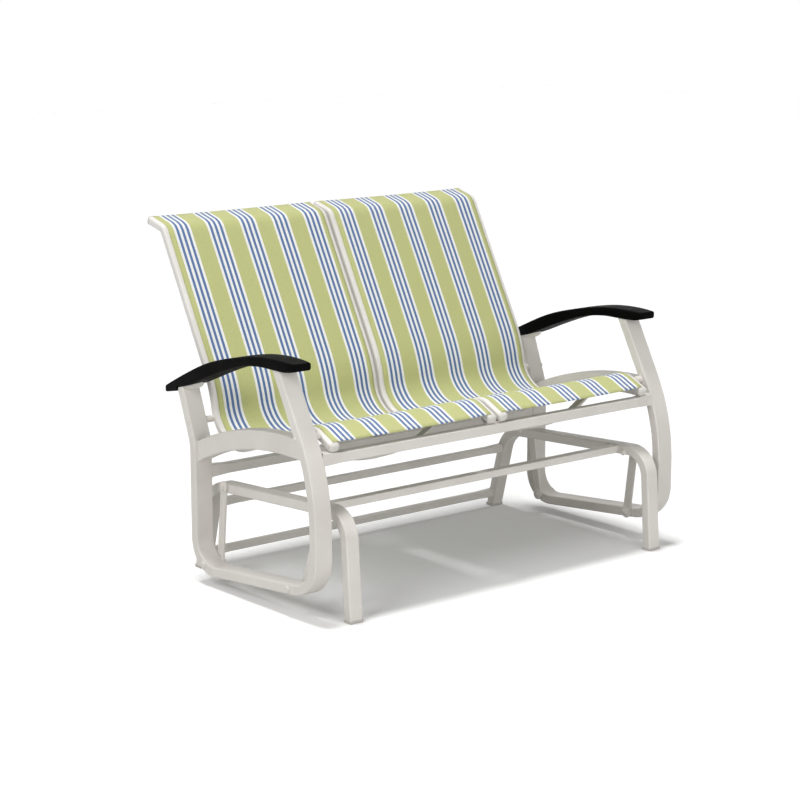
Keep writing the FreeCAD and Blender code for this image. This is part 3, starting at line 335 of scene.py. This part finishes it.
def moulded(name, colour, pale, roughness, shine, grain_scale, grain_depth):
    """Moulded plastic with a fine pebbled grain and a slightly cloudy tone and gloss."""
    nodes = Nodes(name)
    place = nodes.object_place()
    cloud = nodes.noise(place, scale=14.0, detail=4.0)
    nodes.drive("Base Color", nodes.between(cloud, colour, pale, low=0.35, high=0.75))
    pebble = nodes.add("ShaderNodeTexVoronoi")
    pebble.inputs["Scale"].default_value = grain_scale
    nodes.link(place, pebble.inputs["Vector"])
    haze = nodes.noise(place, scale=30.0)
    nodes.drive("Roughness", nodes.between(haze, grey(roughness - 0.05), grey(roughness + 0.08)))
    nodes.bump(pebble.outputs["Distance"], distance=grain_depth, strength=0.5)
    nodes.set(Specular_IOR_Level=shine)
    return nodes.material


def steel(name):
    """Stainless fasteners with a fine-grained, slightly cloudy finish."""
    nodes = Nodes(name)
    place = nodes.object_place()
    cloud = nodes.noise(place, scale=40.0)
    nodes.drive("Base Color", nodes.between(cloud, linear(150, 148, 145), linear(200, 198, 194)))
    brush = nodes.noise(place, scale=1500.0, detail=1.0)
    nodes.drive("Roughness", nodes.between(brush, grey(0.28), grey(0.42)))
    nodes.bump(brush, distance=0.00005, strength=0.3)
    nodes.set(Metallic=0.9)
    return nodes.material


def stripe_stops(green, blue, white):
    """One repeat of the stripe: a green band and a set of blue lines between white ones."""
    start = 0.5 - STRIPE_SHARE / 2
    line = STRIPE_SHARE / STRIPE_LINES
    stops = [(0.0, green)]
    stops += [(start + i * line, blue if i % 2 else white) for i in range(STRIPE_LINES)]
    stops.append((start + STRIPE_SHARE, green))
    return stops


def striped_weave(name):
    """Coated mesh cloth: stripes across the cloth's width, its weave as relief, and painted shade
    where the weave's relief dips.

    The cloth's own map holds metres: U across from its left rail, V along the rail's route.
    """
    nodes = Nodes(name)
    split = nodes.add("ShaderNodeSeparateXYZ")
    nodes.link(nodes.add("ShaderNodeUVMap", uv_map=CLOTH_MAP).outputs["UV"], split.inputs[0])
    across = split.outputs["X"]
    along = split.outputs["Y"]
    width = RAIL_X["left"][1] - RAIL_X["left"][0]
    from_start = nodes.math("SUBTRACT", across, width / 2 - STRIPE_PITCH * STRIPE_START)
    group = nodes.math("FRACT", nodes.math("DIVIDE", from_start, STRIPE_PITCH))
    stops = stripe_stops(linear(200, 203, 137), linear(92, 122, 172), linear(252, 252, 250))
    stripes = nodes.ramp(group, stops, "CONSTANT")
    turns = 2 * math.pi / WEAVE_PITCH
    warp = nodes.math("SINE", nodes.math("MULTIPLY", across, turns))
    weft = nodes.math("SINE", nodes.math("MULTIPLY", along, turns))
    weave = nodes.math("MULTIPLY", warp, weft)
    # Painted shade: the cloth's colour is darker where the weave's relief dips.
    share = nodes.math("MULTIPLY_ADD", weave, 0.5, 0.5)
    weave_shade = nodes.between(share, grey(0.80), grey(1.0), low=0.0, high=1.0)
    yarn = nodes.noise(nodes.object_place(), scale=220.0)
    yarn_tone = nodes.between(yarn, grey(0.93), grey(1.0))
    shaded_stripes = nodes.blend("MULTIPLY", factor=0.55, first=stripes, second=weave_shade)
    tone = nodes.blend("MULTIPLY", factor=1.0, first=shaded_stripes, second=yarn_tone)
    nodes.drive("Base Color", tone)
    nodes.bump(weave, distance=0.0003, strength=0.6)
    nodes.set(Roughness=0.62, Specular_IOR_Level=0.3, Sheen_Weight=0.08, Sheen_Roughness=0.5)
    return nodes.material


def thread(name, colour):
    """Twisted thread of the stitches and cords."""
    nodes = Nodes(name)
    twist = nodes.noise(nodes.object_place(), scale=2500.0, detail=1.0)
    tone = nodes.between(twist, scaled(colour, 0.8), colour, low=0.35, high=0.65)
    nodes.drive("Base Color", tone)
    nodes.bump(twist, distance=0.0001, strength=0.6)
    nodes.set(Roughness=0.7)
    return nodes.material


FRAME_PAINT = powder_coat("frame_powder_coat", linear(222, 218, 212), linear(214, 209, 202),
                          roughness=0.42)
RAIL_PAINT = powder_coat("rail_powder_coat", linear(228, 225, 220), linear(220, 216, 210),
                         roughness=0.40)
ARM_BLACK = moulded("arm_black", linear(4, 4, 4), linear(6, 6, 5),
                    roughness=0.55, shine=0.03, grain_scale=1400.0, grain_depth=0.0001)
CAP_PALE = moulded("cap_pale", linear(206, 203, 197), linear(213, 210, 205),
                   roughness=0.45, shine=0.4, grain_scale=1600.0, grain_depth=0.0001)
FOOT_PALE = moulded("foot_pale", linear(196, 191, 184), linear(206, 202, 196),
                    roughness=0.6, shine=0.4, grain_scale=1200.0, grain_depth=0.0002)
BUSH_WHITE = moulded("bush_white", linear(228, 226, 220), linear(236, 234, 230),
                     roughness=0.5, shine=0.4, grain_scale=1500.0, grain_depth=0.0001)
STEEL = steel("stainless")
CLOTH = striped_weave("striped_sling")
THREAD = thread("hem_thread", linear(206, 209, 168))
SLOT_MATERIALS = {
    "frame_paint": FRAME_PAINT,
    "rail_paint": RAIL_PAINT,
    "hardware": STEEL,
    "arm_polymer": ARM_BLACK,
    "cap_polymer": CAP_PALE,
    "foot_polymer": FOOT_PALE,
    "bush_polymer": BUSH_WHITE,
    "cord_polymer": THREAD,
    "sling_fabric": CLOTH,
}

# Bolts that are painted with the frame, heads and nuts alike
PAINTED_NODES = ["spacer_bolts", "lower_pivot_bolts", "upper_pivot_bolts"]


def repaint_nodes():
    """Gives each carried-over node the detailed material of its slot, or the frame's paint."""
    slots = {part["node"]: part["material_slot"] for part in frame["record"]["subparts"]}
    for name, obj in frame["nodes"].items():
        for slot in obj.material_slots:
            slot.link = "OBJECT"
            slot.material = FRAME_PAINT if name in PAINTED_NODES else SLOT_MATERIALS[slots[name]]


def new_piece(name, verts, faces, body, slot):
    """Smooth mesh object from points and faces, attached to its body, with the material of the
    given slot.
    """
    mesh = bpy.data.meshes.new(name)
    mesh.from_pydata(verts, [], faces)
    mesh.validate()
    mesh.update()
    mesh.materials.append(SLOT_MATERIALS[slot])
    for polygon in mesh.polygons:
        polygon.use_smooth = True
    obj = bpy.data.objects.new(name, mesh)
    bpy.context.scene.collection.objects.link(obj)
    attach(obj, body)
    return obj


def rounded_rectangle(centre, size, corner, count):
    """Points round a rectangle, with count of them on each rounded corner."""
    points = []
    for a, b, start in ((1, -1, -90), (1, 1, 0), (-1, 1, 90), (-1, -1, 180)):
        for k in range(count):
            angle = math.radians(start + 90 * k / (count - 1))
            points.append((centre[0] + a * (size[0] / 2 - corner) + corner * math.cos(angle),
                           centre[1] + b * (size[1] / 2 - corner) + corner * math.sin(angle)))
    return points


def ring_faces(rings, around, first=0, flipped=False, closed=False):
    """Quads between neighbouring rings, which have around points each.

    Closed joins the last ring to the first, and flipped turns the quads' other side out.
    """
    faces = []
    for i in range(rings if closed else rings - 1):
        ring = first + i * around
        following = first + (i + 1) % rings * around
        for k in range(around):
            beside = (k + 1) % around
            if flipped:
                faces.append((ring + k, following + k, following + beside, ring + beside))
            else:
                faces.append((ring + k, ring + beside, following + beside, following + k))
    return faces


def tip_faces(ring, around, tip):
    """Triangles from a ring's points to a tip."""
    return [(ring + k, tip, ring + (k + 1) % around) for k in range(around)]


def straight(start, end, step):
    """Samples along a straight run, without its end, and the run's length."""
    length = (end - start).length
    tangent = (end - start).normalized()
    count = max(1, round(length / step))
    samples = []
    for k in range(count):
        t = k / count
        point = start.lerp(end, t)
        samples.append(Sample(point.x, point.y, -tangent.y, tangent.x, t * length, 0.0))
    return samples, length


def bend(start, end, centre, radius, step):
    """Samples along an arc, without its end, and the arc's length."""
    first = start - centre
    last = end - centre
    turn = math.atan2(first.x * last.y - first.y * last.x, first.dot(last))
    length = abs(turn) * radius
    count = max(1, round(length / step))
    samples = []
    for k in range(count):
        t = k / count
        angle = turn * t
        spoke = Vector((first.x * math.cos(angle) - first.y * math.sin(angle),
                        first.x * math.sin(angle) + first.y * math.cos(angle)))
        point = centre + spoke
        tangent = Vector((-spoke.y, spoke.x)).normalized() * math.copysign(1, turn)
        samples.append(Sample(point.x, point.y, -tangent.y, tangent.x, t * length, turn / length))
    return samples, length


def route(points, radii, step):
    """Samples of a polyline with rounded corners."""
    stretches = []
    start = Vector(points[0])
    for i, radius in enumerate(radii, start=1):
        corner = Vector(points[i])
        before = (Vector(points[i - 1]) - corner).normalized()
        after = (Vector(points[i + 1]) - corner).normalized()
        half = before.angle(after) / 2
        reach = radius / math.tan(half)
        first = corner + before * reach
        last = corner + after * reach
        centre = corner + (before + after).normalized() * (radius / math.sin(half))
        stretches.append(straight(start, first, step))
        stretches.append(bend(first, last, centre, radius, step))
        start = last
    stretches.append(straight(start, Vector(points[-1]), step))
    samples = []
    distance = 0.0
    for found, length in stretches:
        samples += [s._replace(distance=distance + s.distance) for s in found]
        distance += length
    tangent = (Vector(points[-1]) - Vector(points[-2])).normalized()
    samples.append(Sample(*points[-1], -tangent.y, tangent.x, distance, 0.0))
    return samples


def moved_along(sample, reach):
    """The sample a short way further along its own tangent."""
    step = Vector((sample.normal_z, -sample.normal_y)) * reach
    return sample._replace(y=sample.y + step.x, z=sample.z + step.y,
                           distance=sample.distance + reach, bend=0.0)


def rail_samples():
    """The rail's route as far as the cloth goes, which ends just short of the end caps."""
    samples = route(RAIL_POINTS, RAIL_RADII, CLOTH_STEP)
    length = samples[-1].distance
    kept = [s for s in samples if CLOTH_END < s.distance < length - CLOTH_END]
    return [moved_along(samples[0], CLOTH_END)] + kept + [moved_along(samples[-1], -CLOTH_END)]


def pull_profile(samples):
    """How far the middle of the cloth is drawn across each bend, smoothed along its length."""
    profile = []
    for s in samples:
        total = 0.0
        weight = 0.0
        for other in samples:
            w = math.exp(-((other.distance - s.distance) / PULL_REACH) ** 2)
            total += w * max(-PULL_BEND_LIMIT, min(PULL_BEND_LIMIT, other.bend))
            weight += w
        profile.append(total / weight / PULL_BEND_UNIT)
    return profile


class Sling:
    """The route, width and pull that one sling's cloth, hems and stitches share.

    A place across the sling is u, from -1 at its left rail's centre line to 1 at its right one.
    """

    def __init__(self, side):
        self.side = side
        self.x_left, self.x_right = RAIL_X[side]
        self.half = (self.x_right - self.x_left) / 2
        self.middle = (self.x_left + self.x_right) / 2
        self.samples = rail_samples()
        self.profile = pull_profile(self.samples)

    def height(self, i, u):
        """Height of the cloth's middle layer over the rails' centre line."""
        crown = (1 - u ** 2) * self.profile[i] * CLOTH_PULL
        return RAIL_DEEP / 2 + CLOTH_LIFT + CLOTH_THICK / 2 + crown

    def point(self, i, x, height, along=0.0):
        """Point over the sample i, so high above the rails' centre line and so far along it."""
        s = self.samples[i]
        return (x,
                s.y + SHIFT + s.normal_y * height + s.normal_z * along,
                s.z + s.normal_z * height - s.normal_y * along)

    def columns(self):
        """Places across the sling, closer together towards its sides."""
        places = []
        for k in range(CLOTH_COLUMNS + 1):
            even = 2 * k / CLOTH_COLUMNS - 1
            crowded = -math.cos(math.pi * k / CLOTH_COLUMNS)
            places.append(crowded * CLOTH_CROWDING + even * (1 - CLOTH_CROWDING))
        return places

    def end_indices(self, end, reach):
        """Indices of the samples within reach of one end of the cloth."""
        edge = self.samples[0 if end == "front" else -1].distance
        return [i for i, s in enumerate(self.samples) if abs(s.distance - edge) <= reach]

    def layer(self, name, rows, columns):
        """Cloth through the given rows and columns, which are (u, drop, metres across)."""
        verts = []
        coords = []
        for i in rows:
            for u, drop, across in columns:
                x = self.middle + u * self.half
                verts.append(self.point(i, x, self.height(i, u) - drop))
                coords.append((across, self.samples[i].distance))
        width = len(columns)
        faces = []
        for r in range(len(rows) - 1):
            for k in range(width - 1):
                a = r * width + k
                faces.append((a, a + 1, a + width + 1, a + width))
        piece = new_piece("%s_%s" % (name, self.side), verts, faces, CARRIAGE, "sling_fabric")
        uv = piece.data.uv_layers.new(name=CLOTH_MAP)
        for loop in piece.data.loops:
            uv.data[loop.index].uv = coords[loop.vertex_index]
        solid = piece.modifiers.new("thickness", "SOLIDIFY")
        solid.thickness = CLOTH_THICK
        solid.offset = 0.0
        return piece

    def cloth(self):
        """Sling stretched between its rails, the sides turned down into the rails' slots."""
        columns = [(u, 0.0, (u + 1) * self.half) for u in self.columns()]
        columns.insert(0, (-1.0, SLOT_DEPTH, -SLOT_DEPTH))
        columns.append((1.0, SLOT_DEPTH, 2 * self.half + SLOT_DEPTH))
        return self.layer("sling_cloth", range(len(self.samples)), columns)

    def hem(self, end):
        """Turned-under end of the cloth, one layer below it."""
        inner = 1 - HEM_SIDE / self.half
        places = [-inner] + [u for u in self.columns() if abs(u) < inner] + [inner]
        columns = [(u, HEM_DROP, (u + 1) * self.half) for u in places]
        rows = self.end_indices(end, HEM_LENGTH + HEM_SPARE)
        return self.layer("sling_hem_" + end, rows, columns)

    def stitches(self, end):
        """Row of lockstitches across the hem, each a short thread that dips at both ends."""
        indices = self.end_indices(end, STITCH_INSET)
        i = indices[-1] if end == "front" else indices[0]
        count = int((self.x_right - self.x_left - STITCH_MARGIN) / STITCH_PITCH)
        first = self.middle - count * STITCH_PITCH / 2
        verts = []
        faces = []
        for n in range(count):
            base = len(verts)
            for ring in range(STITCH_RINGS):
                t = ring / (STITCH_RINGS - 1)
                x = first + n * STITCH_PITCH + t * STITCH_LONG
                rise = self.height(i, (x - self.middle) / self.half) + CLOTH_THICK / 2
                rise += STITCH_RADIUS * (STITCH_HUMP * math.sin(math.pi * t) - STITCH_SINK)
                for q in range(STITCH_AROUND):
                    angle = 2 * math.pi * q / STITCH_AROUND
                    along = STITCH_RADIUS * STITCH_FLAT * math.cos(angle)
                    verts.append(self.point(i, x, rise + STITCH_RADIUS * math.sin(angle), along))
            faces += ring_faces(STITCH_RINGS, STITCH_AROUND, base)
            faces.append(tuple(reversed(range(base, base + STITCH_AROUND))))
            faces.append(tuple(range(len(verts) - STITCH_AROUND, len(verts))))
        name = "sling_stitches_%s_%s" % (end, self.side)
        return new_piece(name, verts, faces, CARRIAGE, "cord_polymer")


def sling(side):
    """One seat's and back's fabric, with its hems and stitches."""
    shape = Sling(side)
    piece = shape.cloth()
    hems = [shape.hem(end) for end in ("front", "top")]
    stitches = [shape.stitches(end) for end in ("front", "top")]
    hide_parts("sling_" + side)


def smooth_value(points, y):
    """Value at y of a smooth curve through (y, value) points."""
    last = len(points) - 1
    i = 0
    while i < last - 1 and y > points[i + 1][0]:
        i += 1
    y0, v0 = points[i]
    y1, v1 = points[i + 1]
    slope = (v1 - v0) / (y1 - y0)
    before = (v0 - points[i - 1][1]) / (y0 - points[i - 1][0]) if i > 0 else slope
    after = (points[i + 2][1] - v1) / (points[i + 2][0] - y1) if i + 2 <= last else slope
    start = (slope + before) / 2 * (y1 - y0)
    end = (slope + after) / 2 * (y1 - y0)
    t = (y - y0) / (y1 - y0)
    return ((2 * t ** 3 - 3 * t ** 2 + 1) * v0 + (t ** 3 - 2 * t ** 2 + t) * start
            + (3 * t ** 2 - 2 * t ** 3) * v1 + (t ** 3 - t ** 2) * end)


def arm_stations():
    """The arm's sections from front to rear as (y, underside, top, half width, inset)."""
    front = ARM_TOP[0][0]
    rear = ARM_TOP[-1][0]
    step_y = ARM_BLOCK[0][0]
    places = [(step_y, 0.0), (step_y + ARM_BLOCK_STEP, 0.0)]
    for k in range(ARM_TIP_POINTS):
        angle = math.pi / 2 * k / (ARM_TIP_POINTS - 1)
        run = ARM_TIP_EDGE * (1 - math.sin(angle))
        inset = ARM_TIP_EDGE * (1 - math.cos(angle))
        places += [(front + run, inset), (rear - run, inset)]
    count = round((rear - front) / ARM_STEP)
    for k in range(1, count):
        y = front + (rear - front) * k / count
        if min(y - front, rear - y, abs(y - step_y)) > ARM_TIP_EDGE:
            places.append((y, 0.0))
    stations = []
    for y, inset in sorted(places):
        under = smooth_value(ARM_UNDER if y <= step_y else ARM_BLOCK, y)
        stations.append((y, under, smooth_value(ARM_TOP, y), smooth_value(ARM_HALF, y), inset))
    return stations


def arm(side):
    """Moulded arm with rounded edges, in place of the plainer node."""
    stations = arm_stations()
    verts = []
    for y, low, high, half, inset in stations:
        centre = (SIDES[side] * ARM_X, (low + high) / 2)
        size = (2 * (half - inset), high - low - 2 * inset)
        for x, z in rounded_rectangle(centre, size, ARM_EDGE, ARM_EDGE_POINTS):
            verts.append((x, y + SHIFT, z))
    around = 4 * ARM_EDGE_POINTS
    faces = ring_faces(len(stations), around, flipped=True)
    faces.append(tuple(range(around)))
    faces.append(tuple(reversed(range(len(verts) - around, len(verts)))))
    piece = new_piece("arm_skin_" + side, verts, faces, CARRIAGE, "arm_polymer")
    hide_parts("arm_" + side)


def arm_boss(side):
    """Domed boss that the arm's rear end is screwed to, in place of the flat mount."""
    centre = Vector(BOSS_CENTRE)
    forward = Vector((-1.0, BOSS_SLOPE)).normalized()
    upward = Vector((forward.y, -forward.x))
    rings = [(BOSS_TALL, 1.0), (0.0, 1.0)]
    for k in range(1, BOSS_RINGS):
        angle = math.pi / 2 * k / BOSS_RINGS
        rings.append((-BOSS_DOME * math.sin(angle), math.cos(angle) ** BOSS_BLUNT))
    verts = []
    for height, scale in rings:
        for k in range(BOSS_SIDES):
            angle = 2 * math.pi * k / BOSS_SIDES
            along = BOSS_LONG / 2 * math.cos(angle) * scale
            across = BOSS_WIDE / 2 * math.sin(angle) * scale
            point = centre + forward * along + upward * height
            verts.append((SIDES[side] * ARM_X + across, point.x + SHIFT, point.y))
    last = len(verts) - BOSS_SIDES
    bottom = centre - upward * BOSS_DOME
    verts.append((SIDES[side] * ARM_X, bottom.x + SHIFT, bottom.y))
    faces = [tuple(range(BOSS_SIDES))]
    faces += ring_faces(len(rings), BOSS_SIDES, flipped=True)
    faces += tip_faces(last, BOSS_SIDES, len(verts) - 1)
    piece = new_piece("arm_boss_" + side, verts, faces, CARRIAGE, "frame_paint")
    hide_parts("arm_mount_" + side)


def front_cap(side, place, x):
    """Domed nose on the front end of a sling rail, in place of the flatter node."""
    low = Vector(RAIL_POINTS[0])
    along = (low - Vector(RAIL_POINTS[1])).normalized()
    across = Vector((-along.y, along.x))
    rings = [(0.0, 1.0), (CAP_STRAIGHT, 1.0)]
    for k in range(1, CAP_RINGS + 1):
        angle = math.pi / 2 * k / (CAP_RINGS + 1)
        rings.append((CAP_STRAIGHT + CAP_DOME * math.sin(angle), math.cos(angle) ** CAP_BLUNT))
    outline = rounded_rectangle((0, 0), (CAP_WIDE, CAP_DEEP), CAP_CORNER, CAP_CORNER_POINTS)
    verts = []
    for reach, scale in rings:
        for wide, deep in outline:
            point = low + along * reach + across * (deep * scale)
            verts.append((x + wide * scale, point.x + SHIFT, point.y))
    around = len(outline)
    last = len(verts) - around
    tip = low + along * (CAP_STRAIGHT + CAP_DOME)
    verts.append((x, tip.x + SHIFT, tip.y))
    faces = ring_faces(len(rings), around, flipped=True)
    faces += tip_faces(last, around, len(verts) - 1)
    faces.append(tuple(range(around)))
    piece = new_piece("cap_dome_%s_%s" % (side, place), verts, faces, CARRIAGE, "cap_polymer")
    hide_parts("rail_cap_front_%s_%s" % (side, place))


def weld_bead(name, loop, body):
    """Rippled fillet of weld round a closed loop of points."""
    points = []
    for a, b in zip(loop, loop[1:] + loop[:1]):
        a = Vector(a)
        b = Vector(b)
        steps = max(1, round((b - a).length / WELD_STEP))
        points += [a.lerp(b, k / steps) for k in range(steps)]
    count = len(points)
    verts = []
    for i, p in enumerate(points):
        tangent = (points[(i + 1) % count] - points[i - 1]).normalized()
        across = Vector((1, 0, 0)).cross(tangent)
        if across.length < WELD_PARALLEL:
            across = Vector((0, 0, 1)).cross(tangent)
        across.normalize()
        up = tangent.cross(across)
        ripple = 1 + WELD_RIPPLE * math.sin(2 * math.pi * i / WELD_RIPPLE_STEPS)
        ripple += random.uniform(-WELD_UNEVEN, WELD_UNEVEN)
        for q in range(WELD_SIDES):
            angle = 2 * math.pi * q / WELD_SIDES
            reach = (across * math.cos(angle) + up * math.sin(angle)) * WELD_RADIUS * ripple
            verts.append(tuple(p + reach))
    faces = ring_faces(count, WELD_SIDES, closed=True)
    new_piece(name, verts, faces, body, "frame_paint")


def cross_tube_welds():
    """A bead round each end of the cross tubes, at the faces that they meet."""
    for name, body in WELDED_TUBES.items():
        points = [v.co for v in frame["nodes"][name].data.vertices]
        for side, sign in SIDES.items():
            end_x = max(p.x * sign for p in points)
            rim = [p for p in points if p.x * sign > end_x - RIM_DEEP]
            y0 = min(p.y for p in rim)
            y1 = max(p.y for p in rim)
            z0 = min(p.z for p in rim)
            z1 = max(p.z for p in rim)
            outline = rounded_rectangle(((y0 + y1) / 2, (z0 + z1) / 2), (y1 - y0, z1 - z0),
                                        WELD_CORNER, WELD_CORNER_POINTS)
            x = sign * (end_x - WELD_INSET)
            weld_bead("weld_%s_%s" % (name, side), [(x, y, z) for y, z in outline], body)


def mean(values):
    return sum(values) / len(values)


def arch_welds():
    """A bead round each sawn end of the arched rails."""
    for side in SIDES:
        name = "side_arch_" + side
        points = [v.co for v in frame["nodes"][name].data.vertices]
        low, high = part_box(name)
        for end, y_end in (("front", low[1]), ("rear", high[1])):
            rim = [p for p in points if abs(p.y - y_end) < ARCH_REACH[end]]
            z0 = min(p.z for p in rim)
            z1 = max(p.z for p in rim)
            y_low = mean([p.y for p in rim if p.z < z0 + ARCH_RIM_TALL])
            y_high = mean([p.y for p in rim if p.z > z1 - ARCH_RIM_TALL])
            centre = ((low[0] + high[0]) / 2, (z0 + z1) / 2)
            size = (high[0] - low[0], z1 - z0)
            outline = rounded_rectangle(centre, size, WELD_CORNER, WELD_CORNER_POINTS)
            loop = [(x, y_low + (y_high - y_low) * (z - z0) / (z1 - z0), z) for x, z in outline]
            weld_bead("weld_side_arch_%s_%s" % (end, side), loop, CARRIAGE)


def seen_directly(tree):
    """1 for rays from the camera, in reflections and through glass, 0 for light that bounces."""
    path = tree.nodes.new("ShaderNodeLightPath")
    value = path.outputs["Is Camera Ray"]
    for name in ("Is Glossy Ray", "Is Transmission Ray"):
        either = tree.nodes.new("ShaderNodeMath")
        either.operation = "MAXIMUM"
        tree.links.new(value, either.inputs[0])
        tree.links.new(path.outputs[name], either.inputs[1])
        value = either.outputs[0]
    return value


def floor():
    """Pale floor that stays white to the camera outside the bench's soft shadow."""
    mesh = bpy.data.meshes.new("floor")
    corners = [(-1, -1), (1, -1), (1, 1), (-1, 1)]
    mesh.from_pydata([(x * FLOOR_HALF, y * FLOOR_HALF, 0) for x, y in corners], [], [(0, 1, 2, 3)])
    obj = bpy.data.objects.new("floor", mesh)
    obj.location.z = -FLOOR_DROP
    bpy.context.scene.collection.objects.link(obj)
    nodes = Nodes("floor_white")
    seen = seen_directly(nodes.tree)
    tone = nodes.between(seen, grey(FLOOR_BOUNCE), grey(FLOOR_TONE), low=0.0, high=1.0)
    nodes.drive("Base Color", tone)
    nodes.drive("Emission Strength", nodes.math("MULTIPLY", seen, FLOOR_GLOW))
    nodes.set(Roughness=1.0, Specular_IOR_Level=0.0, Emission_Color=grey(1.0))
    mesh.materials.append(nodes.material)


def world():
    """White to the camera and in reflections, and a plain soft fill for everything else."""
    background = bpy.data.worlds.new("studio")
    bpy.context.scene.world = background
    background.use_nodes = True
    tree = background.node_tree
    fill = tree.nodes["Background"]
    plain = tree.nodes.new("ShaderNodeBackground")
    for node, strength in ((fill, AMBIENT), (plain, 1.0)):
        node.inputs["Color"].default_value = grey(1.0)
        node.inputs["Strength"].default_value = strength
    mix = tree.nodes.new("ShaderNodeMixShader")
    tree.links.new(seen_directly(tree), mix.inputs[0])
    tree.links.new(fill.outputs[0], mix.inputs[1])
    tree.links.new(plain.outputs[0], mix.inputs[2])
    tree.links.new(mix.outputs[0], tree.nodes["World Output"].inputs["Surface"])


def lamp(name, kind, direction, energy, **values):
    """Lamp that shines along a direction, with the given settings of its kind."""
    data = bpy.data.lights.new(name, kind)
    data.energy = energy
    for key, value in values.items():
        setattr(data, key, value)
    obj = bpy.data.objects.new(name, data)
    obj.rotation_euler = Vector(direction).to_track_quat("-Z", "Y").to_euler()
    bpy.context.scene.collection.objects.link(obj)
    return obj


def area_lamp(name, place, size, energy):
    """Round lamp at a place, turned to the bench's middle."""
    towards = Vector(LAMP_TARGET) - Vector(place)
    lamp(name, "AREA", towards, energy, shape="DISK", size=size).location = place


def lights():
    """Soft overhead sun, and one large lamp in front and one on the left."""
    lamp("overhead", "SUN", SUN_DIRECTION, SUN, angle=math.radians(SUN_SPREAD))
    area_lamp("front_soft", (-0.4, -4.0, 0.8), size=3.0, energy=64.0)
    area_lamp("left_side", (-4.0, -1.0, 3.2), size=2.4, energy=84.0)


def camera():
    """The photograph's view, from the front left and a little above."""
    data = bpy.data.cameras.new("camera")
    data.sensor_width = CAMERA_SENSOR
    data.lens = CAMERA_LENS
    data.clip_end = CAMERA_REACH
    obj = bpy.data.objects.new("camera", data)
    obj.location = CAMERA_PLACE
    obj.rotation_euler = (math.radians(CAMERA_TILT), 0.0, math.radians(CAMERA_TURN))
    bpy.context.scene.collection.objects.link(obj)
    bpy.context.scene.camera = obj


repaint_nodes()
for side in SIDES:
    sling(side)
    arm(side)
    arm_boss(side)
    for x in RAIL_X[side]:
        front_cap(side, "inner" if abs(x) < INNER_REACH else "outer", x)
cross_tube_welds()
arch_welds()
floor()
world()
lights()
camera()
bpy.context.scene.view_settings.view_transform = "Standard"
